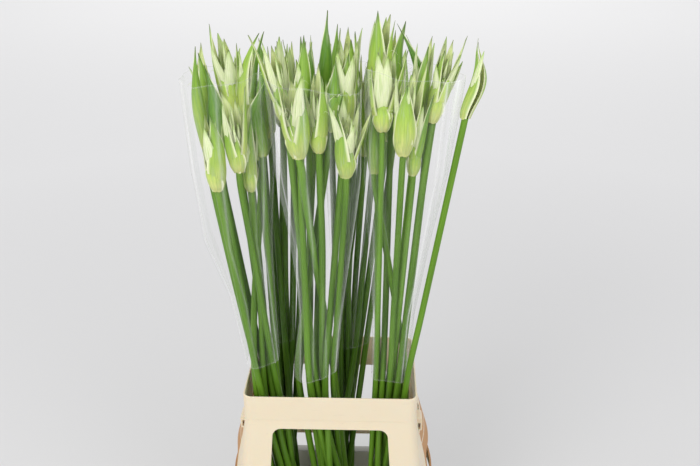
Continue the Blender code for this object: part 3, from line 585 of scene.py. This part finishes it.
def makeFlower(name, shape):
    flower = readFlower(name)
    short = name.replace("nerine_", "")
    draw = random.Random(short)
    rear = short.startswith("rear")
    fallback = {"tone": draw.uniform(0.35, 0.95), "curl": draw.uniform(-9, 9), "bow": draw.uniform(-4, 4), "wide": 1.15}
    look = flowerLooks.get(short, fallback)
    lift = look.get("raise", 0) * 0.001
    if lift:
        along = (flower["top"] - flower["base"]).normalized()
        flower["line"].append(flower["base"] + along * lift)
        flower["base"] = flower["line"][-1]
        flower["top"] = flower["top"] + along * lift
    flower["width"] *= look.get("wide", 1.0)
    flower["tone"] = look["tone"]
    flower["seed"] = draw.uniform(0.0, 5.0)
    # The rear stems get a deeper green tone than the front ones: painted shade for the stems standing behind.
    flower["stemTone"] = draw.uniform(0.45, 0.9) if rear else draw.uniform(0.0, 0.5)
    sprig = Sprig()
    growStem(sprig, flower, shape, draw)
    growHead(sprig, flower, look, shape, draw)
    mesh = bpy.data.meshes.new("flower_" + short)
    sprig.build.to_mesh(mesh)
    sprig.build.free()
    for finish in flowerFinishes:
        mesh.materials.append(finish)
    piece = bpy.data.objects.new("flower_" + short, mesh)
    bpy.context.scene.collection.objects.link(piece)
    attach(piece, "root")
    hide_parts(name)
    return flower


flowers = {}
for nodeName in sorted(nodes):
    if nodeName.startswith("nerine_"):
        flowers[nodeName] = makeFlower(nodeName, flowerShape)
print("flowers grown:", len(flowers), {kind: sum(f["kind"] == kind for f in flowers.values()) for kind in valveShapes})


# clear film sleeves

# The film is a white veil made by alpha: nearly clear face on, thicker at grazing angles, partly from the film seen
# edge-on and partly as a painted reflection, with painted reflections as white streaks and as white stripes along the
# folds, and a painted highlight along the cut hems.
filmLook = {
    "tint": (0.88, 0.885, 0.88), "roughness": 0.16, "clear": 0.012, "rim": 0.40, "streak": 0.05,
    "crease": 0.90, "hem": 0.14,
}
sleeveShape = {
    "sides": 240, "levels": 44, "wrinkle": 0.0016, "folds": 9, "fineFolds": 31, "hem": 0.004,
    "topSlant": {"sleeve_left": (0.006, 20), "sleeve_centre": (0.006, 200), "sleeve_right": (0.007, 160),
                 "sleeve_rearLeft": (0.005, 90), "sleeve_rearRight": (0.005, 40)},
    "topRise": {"sleeve_left": 0.0, "sleeve_centre": 0.004, "sleeve_right": 0.012, "sleeve_rearLeft": 0.0,
                "sleeve_rearRight": 0.0},
    "footSlant": {"sleeve_left": (0.003, 0), "sleeve_centre": (0.012, 0), "sleeve_right": (0.003, 180),
                  "sleeve_rearLeft": (0.004, 0), "sleeve_rearRight": (0.004, 0)},
    # creases: degrees at the foot and at the top, width in degrees, strength
    "creases": {
        "sleeve_left": [(-20, -14, 1.6, 0.8), (-36, -40, 1.2, 0.4), (-150, -158, 1.8, 0.6), (-96, -88, 1.0, 0.25)],
        "sleeve_centre": [(-34, -24, 1.4, 0.7), (-140, -150, 1.4, 0.6), (-62, -70, 1.0, 0.35), (-100, -104, 1.0, 0.3)],
        "sleeve_right": [(-30, -24, 1.7, 1.0), (-44, -40, 1.3, 0.9), (-12, -8, 1.2, 0.5), (-148, -156, 1.4, 0.5)],
        "sleeve_rearLeft": [(-60, -50, 1.4, 0.4)],
        "sleeve_rearRight": [(-80, -70, 1.4, 0.4)],
    },
}


def filmFinish(look):
    material, tree, shader = newMaterial("clearFilm", Roughness=look["roughness"], IOR=1.45)
    shader.inputs["Base Color"].default_value = (*look["tint"], 1.0)
    grain = addNode(tree, "Attribute", attribute_name="grain").outputs["Vector"]
    fold = addNode(tree, "SeparateColor", {"Color": addNode(tree, "Attribute", attribute_name="fold").outputs["Color"]})
    streaks = addNode(tree, "TexNoise", {"Vector": stretched(tree, grain, (90.0, 90.0, 3.0)), "Scale": 1.0,
                                         "Detail": 4.0, "Roughness": 0.62}).outputs["Fac"]
    patches = addNode(tree, "TexNoise", {"Vector": stretched(tree, grain, (30.0, 30.0, 9.0)), "Scale": 1.0,
                                         "Detail": 3.0}).outputs["Fac"]
    facing = addNode(tree, "LayerWeight", {"Blend": 0.38}).outputs["Facing"]
    edge = addNode(tree, "Math", {0: facing, 1: 2.2}, operation="POWER").outputs[0]
    # Alpha parts: the grazing-angle veil, partly painted reflection; painted reflections in white streaks and along the
    # folds; a painted highlight on the hems
    parts = [scaled(tree, edge, 0.0, 1.0, look["clear"], look["rim"]),
             scaled(tree, streaks, 0.56, 0.74, 0.0, look["streak"]),
             addNode(tree, "Math", {0: fold.outputs["Red"], 1: scaled(tree, patches, 0.35, 0.65, 0.15, look["crease"])},
                     operation="MULTIPLY").outputs[0],
             scaled(tree, fold.outputs["Green"], 0.0, 1.0, 0.0, look["hem"])]
    alpha = parts[0]
    for part in parts[1:]:
        alpha = addNode(tree, "Math", {0: alpha, 1: part}, operation="ADD", use_clamp=True).outputs[0]
    tree.links.new(alpha, shader.inputs["Alpha"])
    bumpFrom(tree, shader, streaks, 0.30, 0.0006)
    return material


wallFacings = np.array([(math.cos(math.radians(30 * k)), math.sin(math.radians(30 * k))) for k in range(12)])


def makeSleeve(name, shape, finish):
    # Follows the solid's outer wall, with soft folds that stand proud of it
    points = sorted({tuple(round(c, 5) for c in vertex.co) for vertex in nodes[name].data.vertices},
                    key=lambda point: point[2])
    levels = []
    for point in points:
        if levels and abs(levels[-1][0][2] - point[2]) < 2e-5:
            levels[-1].append(point)
        else:
            levels.append([point])
    outlines = []
    for level in levels:
        flat = np.array(level)[:, :2]
        centre = flat.mean(axis=0)
        walls = [float(((flat - centre) @ wall).max()) for wall in wallFacings]
        outlines.append((level[0][2], Vector(centre), walls))
    draw = random.Random(name)
    phases = [draw.uniform(0, 6.28) for _ in range(4)]
    topSlant, topTurn = shape["topSlant"][name]
    footSlant, footTurn = shape["footSlant"][name]
    build = bmesh.new()
    grain = build.verts.layers.float_vector.new("grain")
    fold = build.verts.layers.float_color.new("fold")
    lowZ, highZ = outlines[0][0], outlines[-1][0]
    hem = shape["hem"]
    shares = [0.0, hem / 2, hem] + [k / shape["levels"] for k in range(1, shape["levels"])] + [1 - hem, 1 - hem / 2, 1.0]
    rows = []
    for share in shares:
        row = []
        for k in range(shape["sides"]):
            angle = 2 * math.pi * k / shape["sides"]
            bottom = lowZ + footSlant * math.cos(angle - math.radians(footTurn))
            top = highZ + shape["topRise"][name] + topSlant * math.cos(angle - math.radians(topTurn)) + 0.0015 * math.sin(5 * angle + phases[0])
            z = bottom + (top - bottom) * share
            radius, centre = wallReach(outlines, min(highZ, max(lowZ, z)), angle)
            broad = 0.5 + 0.5 * math.sin(shape["folds"] * angle + phases[1] + 1.2 * math.sin(4 * share + phases[2]))
            fine = 0.5 + 0.5 * math.sin(shape["fineFolds"] * angle + phases[3] + 2.0 * share)
            # The fold strength below both lifts the film and whitens it there as a painted reflection; the hem flag
            # marks a painted highlight on the cut edges.
            crease = 0.0
            for footAngle, topAngle, width, strength in shape["creases"][name]:
                middle = footAngle + (topAngle - footAngle) * share + 0.8 * math.sin(9 * share + phases[3])
                apart = (math.degrees(angle) - middle + 180) % 360 - 180
                soft = 0.6 * math.exp(-(apart / width) ** 2) + 0.4 * math.exp(-(apart / (3.5 * width)) ** 2)
                crease = max(crease, strength * soft)
            radius += shape["wrinkle"] * (0.7 * broad + 0.3 * fine) * (0.35 + share) + 0.0008 * crease
            vert = build.verts.new((centre.x + radius * math.cos(angle), centre.y + radius * math.sin(angle), z))
            vert[grain] = (0.05 * math.cos(angle) + phases[0], 0.05 * math.sin(angle), z)
            vert[fold] = (crease, 1.0 if min(share, 1 - share) < 0.75 * hem else 0.0, 0.0, 1.0)
            row.append(vert)
        rows.append(row)
    for low, high in zip(rows, rows[1:]):
        for k in range(len(low)):
            after = (k + 1) % len(low)
            face = build.faces.new((low[k], low[after], high[after], high[k]))
            face.smooth = True
    mesh = bpy.data.meshes.new("film_" + name)
    build.to_mesh(mesh)
    build.free()
    mesh.materials.append(finish)
    piece = bpy.data.objects.new("film_" + name, mesh)
    bpy.context.scene.collection.objects.link(piece)
    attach(piece, "root")
    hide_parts(name)


def wallReach(outlines, z, angle):
    # Distance from the bunch's middle to its wall, eased between the solid's levels
    k = 0
    while k < len(outlines) - 2 and outlines[k + 1][0] < z:
        k += 1
    low, high = outlines[k], outlines[k + 1]
    share = (z - low[0]) / (high[0] - low[0])
    facing = wallFacings @ np.array((math.cos(angle), math.sin(angle)))
    reaches = [min(wall / f for wall, f in zip(level[2], facing) if f > 0.2) for level in (low, high)]
    return reaches[0] * (1 - share) + reaches[1] * share, low[1].lerp(high[1], share)


film = filmFinish(filmLook)
for nodeName in sorted(nodes):
    if nodeName.startswith("sleeve_"):
        makeSleeve(nodeName, sleeveShape, film)
print("film sleeves made")


# ivory collar with its windows, crease and side lugs

collarShape = {
    "footZ": 0.1853, "rimZ": 0.4470, "rimHalf": (0.1350, 0.0930), "corner": 0.0140, "wall": 0.0030,
    "creaseZ": 0.4050, "creaseSoft": 0.0090, "step": 0.0005, "flare": math.tan(math.radians(6.3)), "cornerSteps": 10, "sideSteps": 14,
    "bulge": 0.0180, "bulgeFullZ": 0.3000, "edge": 0.0007,
    "frontWindow": (0.2800, 0.3895, 0.0897), "sideWindow": (0.2580, 0.3160, 0.0540),
    "frontArch": (0.1440, 0.2260, 0.1180), "sideArch": (0.1440, 0.2260, 0.0780),
    "windowCorner": 0.0130, "widening": 0.085,
    "lug": {"y": -0.0450, "z": 0.3740, "reach": 0.0080, "long": 0.0240, "high": 0.0230, "edge": 0.0040,
            "holeIn": 0.0016, "holeUp": 0.0030, "hole": (0.0036, 0.0110)},
}
# The tan colour and its place on the side walls round the side windows are painted shade, with a painted warm glow of
# light through the plastic; the thin ivory line left across it is a painted highlight of a lit rib edge.
collarLook = {
    "ivory": (0.745, 0.648, 0.486), "warm": (0.735, 0.605, 0.400), "grime": (0.390, 0.335, 0.250),
    "tan": (0.460, 0.215, 0.055), "tanFrom": 0.1392, "tanZ": (0.2380, 0.3610), "tanHalf": 0.0620, "rib": 0.3415,
    "roughness": 0.42,
}


def softRectangle(halfX, halfY, corner, bulge, cornerSteps, sideSteps):
    # Round-cornered outline whose x sides may bow outwards
    points = []
    for quarter in range(4):
        centreX = (halfX - corner) * (1 if quarter in (0, 3) else -1)
        centreY = (halfY - corner) * (1 if quarter in (0, 1) else -1)
        for step in range(cornerSteps + 1):
            angle = math.radians(90) * (quarter + step / cornerSteps)
            points.append((centreX + corner * math.cos(angle), centreY + corner * math.sin(angle)))
        if quarter in (1, 3):
            side = -1 if quarter == 1 else 1
            start = (halfY - corner) * (1 if quarter == 1 else -1)
            for step in range(1, sideSteps):
                y = start * (1 - 2 * step / sideSteps)
                points.append((side * (halfX + bulge * (1 - (y / start) ** 2)), y))
        else:
            start = (halfX - corner) * (1 if quarter == 0 else -1)
            points += [(start * (1 - 2 * step / sideSteps), centreY + math.copysign(corner, centreY))
                       for step in range(1, sideSteps)]
    return points


def skinRings(build, rings, closed=False):
    rows = [[build.verts.new(point) for point in ring] for ring in rings]
    pairs = list(zip(rows, rows[1:])) + ([(rows[-1], rows[0])] if closed else [])
    for low, high in pairs:
        for k in range(len(low)):
            after = (k + 1) % len(low)
            build.faces.new((low[k], low[after], high[after], high[k]))
    if not closed:
        build.faces.new(list(reversed(rows[0])))
        build.faces.new(rows[-1])
    return rows


def meshObject(name, build):
    bmesh.ops.recalc_face_normals(build, faces=build.faces)
    mesh = bpy.data.meshes.new(name)
    build.to_mesh(mesh)
    build.free()
    made = bpy.data.objects.new(name, mesh)
    bpy.context.scene.collection.objects.link(made)
    return made


def cutWith(target, tools):
    # Applies Boolean tools in turn and removes them
    for tool, operation in tools:
        cut = target.modifiers.new(tool.name, "BOOLEAN")
        cut.operation, cut.object, cut.solver = operation, tool, "EXACT"
    view = bpy.context.evaluated_depsgraph_get()
    mesh = bpy.data.meshes.new_from_object(target.evaluated_get(view))
    target.modifiers.clear()
    target.data = mesh
    for tool, operation in tools:
        bpy.data.objects.remove(tool)


def roundEdges(piece, width, segments=3, limit=38):
    # Small moulded radius on every sharp edge, with flat faces kept flat
    for polygon in piece.data.polygons:
        polygon.use_smooth = True
    bevel = piece.modifiers.new("mouldedEdge", "BEVEL")
    bevel.width, bevel.segments, bevel.limit_method = width, segments, "ANGLE"
    bevel.angle_limit = math.radians(limit)
    bevel.use_clamp_overlap = True
    normals = piece.modifiers.new("flatNormals", "WEIGHTED_NORMAL")
    normals.keep_sharp = True


def collarRing(z, inset, shape):
    drop = shape["creaseZ"] - z
    soft = shape["creaseSoft"]
    if drop <= -soft:
        fall = 0.0
    elif drop < soft:
        fall = (drop + soft) ** 2 / (4 * soft)
    else:
        fall = drop
    back = min(1.0, max(0.0, (drop + 0.0012) / 0.0024))
    flare = fall * shape["flare"] - shape["step"] * back * back * (3 - 2 * back)
    halfX, halfY = shape["rimHalf"][0] + flare, shape["rimHalf"][1] + flare
    x = min(1.0, max(0.0, drop / (shape["creaseZ"] - shape["bulgeFullZ"])))
    corner = shape["corner"] + 0.4 * flare - inset
    outline = softRectangle(halfX - inset, halfY - inset, corner, shape["bulge"] * x * x * (3 - 2 * x),
                            shape["cornerSteps"], shape["sideSteps"])
    return [(px, py, z) for px, py in outline]


def windowTool(name, opening, axis, shape, widening):
    low, high, half = opening
    corner, steps = shape["windowCorner"], 10
    middle, tall = (low + high) / 2, (high - low) / 2
    outline = []
    for quarter in range(4):
        across = (half - corner) * (1 if quarter in (0, 3) else -1)
        up = (tall - corner) * (1 if quarter in (0, 1) else -1)
        for step in range(steps + 1):
            angle = math.radians(90) * (quarter + step / steps)
            z = middle + up + corner * math.sin(angle)
            outline.append(((across + corner * math.cos(angle)) * (1 + widening * (high - z) / (high - low)), z))
    build = bmesh.new()
    skinRings(build, [[(end, a, b) if axis == "x" else (a, end, b) for a, b in outline] for end in (-0.3, 0.3)])
    return meshObject(name, build)


def roundedBar(name, x, y, z):
    # A box bar; x, y and z are (low, high)
    build = bmesh.new()
    made = bmesh.ops.create_cube(build, size=1.0)
    for vert in made["verts"]:
        vert.co = Vector(((x[0] + x[1]) / 2 + vert.co.x * (x[1] - x[0]), (y[0] + y[1]) / 2 + vert.co.y * (y[1] - y[0]),
                          (z[0] + z[1]) / 2 + vert.co.z * (z[1] - z[0])))
    return meshObject(name, build)


def makeCollar(shape):
    low, top, wall = shape["footZ"], shape["rimZ"], shape["wall"]
    heights = [low, 0.205, 0.226, 0.245, 0.262, 0.280, 0.300, 0.318, 0.336, 0.354, 0.372, 0.388, 0.396, 0.401, 0.4036,
               0.4044, 0.4050, 0.4056, 0.4064, 0.4090, 0.4120, 0.425, top - 0.0013]
    rings = [collarRing(z, 0.0, shape) for z in heights]
    rings += [collarRing(top - 0.0005, 0.00035, shape), collarRing(top, 0.0011, shape),
              collarRing(top, wall - 0.0011, shape), collarRing(top - 0.0005, wall - 0.00035, shape)]
    rings += [collarRing(z, wall, shape) for z in reversed(heights)]
    build = bmesh.new()
    skinRings(build, rings, closed=True)
    collar = meshObject("collarShell", build)
    lug = shape["lug"]
    half = shape["rimHalf"][0] + (shape["creaseZ"] - lug["z"]) * shape["flare"]
    tools = []
    for side, word in ((-1, "Left"), (1, "Right")):
        y = (lug["y"] - lug["long"] / 2, lug["y"] + lug["long"] / 2)
        z = (lug["z"] - lug["high"] / 2, lug["z"] + lug["high"] / 2)
        block = bmesh.new()
        outer = half + lug["reach"]
        profile = [(half - wall / 2, z[0]), (outer - 0.0015, z[0]), (outer, z[0] + 0.0015)]
        for step in range(7):
            angle = math.radians(15 * step)
            profile.append((outer - lug["edge"] + lug["edge"] * math.cos(angle), z[1] - lug["edge"] + lug["edge"] * math.sin(angle)))
        profile.append((half - wall / 2, z[1]))
        skinRings(block, [[(side * px, end, pz) for px, pz in profile] for end in y])
        tools.append((meshObject("lug" + word, block), "UNION"))
        inner = half + lug["holeIn"]
        tools.append((roundedBar("lugHole" + word, sorted((side * inner, side * (inner + lug["hole"][0]))),
                                 (lug["y"] - 0.05, lug["y"] + 0.05),
                                 (z[0] + lug["holeUp"], z[0] + lug["holeUp"] + lug["hole"][1])), "DIFFERENCE"))
    for name, axis, widening in (("frontWindow", "y", shape["widening"]), ("frontArch", "y", 0.0),
                                 ("sideWindow", "x", shape["widening"]), ("sideArch", "x", 0.0)):
        tools.append((windowTool(name, shape[name], axis, shape, widening), "DIFFERENCE"))
    cutWith(collar, tools)
    roundEdges(collar, shape["edge"])
    return collar


def collarFinish(look):
    material, tree, shader = newMaterial("ivoryPlastic", Roughness=look["roughness"], Subsurface_Weight=0.18,
                                         Subsurface_Radius=(1.0, 0.55, 0.25), Subsurface_Scale=0.006, IOR=1.48)
    place = addNode(tree, "TexCoord").outputs["Object"]
    clouds = addNode(tree, "TexNoise", {"Vector": place, "Scale": 9.0, "Detail": 3.0}).outputs["Fac"]
    spots = addNode(tree, "TexNoise", {"Vector": stretched(tree, place, (1.0, 1.0, 1.7)), "Scale": 46.0, "Detail": 4.0,
                                       "Roughness": 0.7}).outputs["Fac"]
    scuffs = addNode(tree, "TexNoise", {"Vector": stretched(tree, place, (0.25, 0.25, 2.2)), "Scale": 120.0,
                                        "Detail": 2.0}).outputs["Fac"]
    grainy = addNode(tree, "TexNoise", {"Vector": place, "Scale": 900.0, "Detail": 2.0}).outputs["Fac"]
    base = mixColour(tree, scaled(tree, clouds, 0.35, 0.75, 0.0, 0.45), look["ivory"], look["warm"])
    spotted = mixColour(tree, scaled(tree, spots, 0.66, 0.76, 0.0, 0.22), base, look["grime"])
    scuffed = mixColour(tree, scaled(tree, scuffs, 0.66, 0.80, 0.0, 0.12), spotted, look["grime"])
    # Painted shade: tan over the outer side walls round the side windows, with a thin ivory line left across it as a
    # painted highlight of a rib edge
    axes = addNode(tree, "SeparateXYZ", {"Vector": place})
    outward = addNode(tree, "Math", {0: axes.outputs["X"]}, operation="ABSOLUTE").outputs[0]
    sideways = scaled(tree, outward, look["tanFrom"], look["tanFrom"] + 0.0015, 0.0, 1.0)
    low, high = look["tanZ"]
    below = scaled(tree, axes.outputs["Z"], high - 0.001, high, 1.0, 0.0)
    above = scaled(tree, axes.outputs["Z"], low, low + 0.001, 0.0, 1.0)
    litRibGap = addNode(tree, "Math", {0: axes.outputs["Z"], 1: look["rib"]}, operation="SUBTRACT").outputs[0]
    litRibGap = scaled(tree, addNode(tree, "Math", {0: litRibGap}, operation="ABSOLUTE").outputs[0], 0.0010, 0.0018, 0.0, 1.0)
    deep = addNode(tree, "Math", {0: axes.outputs["Y"]}, operation="ABSOLUTE").outputs[0]
    paintedShade = scaled(tree, deep, look["tanHalf"], look["tanHalf"] + 0.001, 1.0, 0.0)
    for part in (sideways, below, above, litRibGap):
        paintedShade = addNode(tree, "Math", {0: paintedShade, 1: part}, operation="MULTIPLY").outputs[0]
    tree.links.new(mixColour(tree, paintedShade, scuffed, look["tan"]), shader.inputs["Base Color"])
    tree.links.new(scaled(tree, clouds, 0.3, 0.8, look["roughness"] - 0.06, look["roughness"] + 0.10), shader.inputs["Roughness"])
    bumpFrom(tree, shader, grainy, 0.12, 0.0002)
    return material


collar = makeCollar(collarShape)
collar.data.materials.clear()
collar.data.materials.append(collarFinish(collarLook))
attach(collar, "root")
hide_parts("collar_front", "collar_left", "collar_backRight")
print("collar moulded:", len(collar.data.polygons), "faces")


# grey bucket and its water

bucketShape = {
    "half": (0.1530, 0.1110), "taper": 0.0100, "wall": 0.0025, "corner": 0.0240, "rimZ": 0.1850,
    "flange": 0.0140, "thick": 0.0040, "cornerSteps": 12, "sideSteps": 6,
    "beads": ((0.052, 0.0008), (0.140, 0.0008)),
}
bucketLook = {"grey": (0.600, 0.575, 0.500), "worn": (0.700, 0.680, 0.610), "rim": (0.330, 0.320, 0.290), "roughness": 0.50}
waterLook = {"tint": (0.780, 0.860, 0.820), "roughness": 0.03}


def makeBucket(shape):
    rim, taper, flange, thick, wall = (shape[key] for key in ("rimZ", "taper", "flange", "thick", "wall"))
    profile = [(-taper - 0.0030, 0.0), (-taper - 0.0008, 0.0008), (-taper, 0.0030)]
    for height, proud in shape["beads"]:
        slope = -taper * (1 - height / (rim - thick))
        profile += [(slope - 0.0001, height - 0.004), (slope + proud, height - 0.0015), (slope + proud, height + 0.0015),
                    (slope + 0.0001, height + 0.004)]
    profile += [(0.0, rim - thick - 0.002), (0.0015, rim - thick), (flange - 0.0012, rim - thick),
                (flange - 0.0003, rim - thick + 0.0005), (flange, rim - thick + 0.0015), (flange, rim - 0.0012),
                (flange - 0.0004, rim - 0.0003), (flange - 0.0012, rim), (-wall + 0.0008, rim), (-wall + 0.0001, rim - 0.0006),
                (-wall, rim - 0.0016), (-wall - taper + 0.0002, wall + 0.004), (-wall - taper - 0.0010, wall + 0.0010),
                (-wall - taper - 0.0030, wall)]
    build = bmesh.new()
    rings = []
    for out, z in profile:
        outline = softRectangle(shape["half"][0] + out, shape["half"][1] + out, shape["corner"] + out / 2, 0.0,
                                shape["cornerSteps"], shape["sideSteps"])
        rings.append([(x, y, z) for x, y in outline])
    skinRings(build, rings)
    bucket = meshObject("bucketShell", build)
    for polygon in bucket.data.polygons:
        polygon.use_smooth = True
    bucket.data.set_sharp_from_angle(angle=math.radians(50))
    return bucket


def bucketFinish(look):
    material, tree, shader = newMaterial("greyPlastic", Roughness=look["roughness"], IOR=1.48)
    place = addNode(tree, "TexCoord").outputs["Object"]
    clouds = addNode(tree, "TexNoise", {"Vector": place, "Scale": 14.0, "Detail": 4.0}).outputs["Fac"]
    scratches = addNode(tree, "TexNoise", {"Vector": stretched(tree, place, (1.0, 1.0, 9.0)), "Scale": 60.0,
                                           "Detail": 3.0}).outputs["Fac"]
    base = mixColour(tree, scaled(tree, clouds, 0.4, 0.75, 0.0, 0.6), look["grey"], look["worn"])
    scratched = mixColour(tree, scaled(tree, scratches, 0.62, 0.8, 0.0, 0.4), base, look["worn"])
    height = addNode(tree, "SeparateXYZ", {"Vector": place}).outputs["Z"]
    rimmed = mixColour(tree, scaled(tree, height, 0.1835, 0.1845, 0.0, 1.0), scratched, look["rim"])
    tree.links.new(rimmed, shader.inputs["Base Color"])
    bumpFrom(tree, shader, scratches, 0.15, 0.0003)
    return material


def waterFinish(look):
    material, tree, shader = newMaterial("stillWater", Roughness=look["roughness"], IOR=1.333, Transmission_Weight=0.9)
    place = addNode(tree, "TexCoord").outputs["Object"]
    murk = addNode(tree, "TexNoise", {"Vector": place, "Scale": 18.0, "Detail": 2.0}).outputs["Fac"]
    tint = mixColour(tree, scaled(tree, murk, 0.3, 0.8, 0.0, 0.5), look["tint"], (0.62, 0.74, 0.62))
    tree.links.new(tint, shader.inputs["Base Color"])
    bumpFrom(tree, shader, murk, 0.10, 0.002)
    return material


bucket = makeBucket(bucketShape)
bucket.data.materials.append(bucketFinish(bucketLook))
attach(bucket, "root")
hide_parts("bucket")
water = nodes["water"]
water.data.materials.clear()
water.data.materials.append(waterFinish(waterLook))
print("bucket and water finished")


# studio: pale floor, even sky, soft lamps

studio = {
    "floor": (0.785, 0.779, 0.768), "floorSize": 80.0, "sky": (0.965, 0.972, 1.0), "skyPower": 0.86,
    "lamps": {
        "keyLamp": {"place": (-1.10, -1.90, 1.75), "aim": (0.0, 0.0, 0.60), "size": 1.30, "power": 24.0},
        "fillLamp": {"place": (1.50, -1.70, 1.35), "aim": (0.0, 0.0, 0.55), "size": 1.40, "power": 9.0},
        "farLamp": {"place": (0.0, 9.0, 4.5), "aim": (0.0, 8.9, 0.0), "size": 10.0, "power": 150.0},
    },
}


def makeStudio(setup):
    build = bmesh.new()
    bmesh.ops.create_grid(build, x_segments=8, y_segments=8, size=setup["floorSize"] / 2)
    floor = meshObject("studioFloor", build)
    material, tree, shader = newMaterial("palePaper", Roughness=0.85, Specular_IOR_Level=0.1)
    place = addNode(tree, "TexCoord").outputs["Object"]
    away = addNode(tree, "VectorMath", {0: place}, operation="LENGTH").outputs["Value"]
    # Painted shade: the floor colour darkens towards the bucket and brightens outwards
    paintedNearShade = tuple(0.86 * c for c in setup["floor"])
    tree.links.new(mixColour(tree, scaled(tree, away, 0.4, 2.6, 0.0, 1.0), paintedNearShade, setup["floor"]), shader.inputs["Base Color"])
    floor.data.materials.append(material)
    world = bpy.data.worlds.new("studioSky")
    world.use_nodes = True
    sky = world.node_tree.nodes["Background"]
    sky.inputs["Color"].default_value = (*setup["sky"], 1.0)
    sky.inputs["Strength"].default_value = setup["skyPower"]
    bpy.context.scene.world = world
    bpy.context.scene.view_settings.view_transform = "Standard"
    for name, lamp in setup["lamps"].items():
        light = bpy.data.lights.new(name, "AREA")
        light.shape, light.size, light.energy = "DISK", lamp["size"], lamp["power"]
        holder = bpy.data.objects.new(name, light)
        holder.location = lamp["place"]
        away = Vector(lamp["place"]) - Vector(lamp["aim"])
        holder.rotation_euler = away.to_track_quat("Z", "Y").to_euler()
        bpy.context.scene.collection.objects.link(holder)


makeStudio(studio)
print("studio lit")
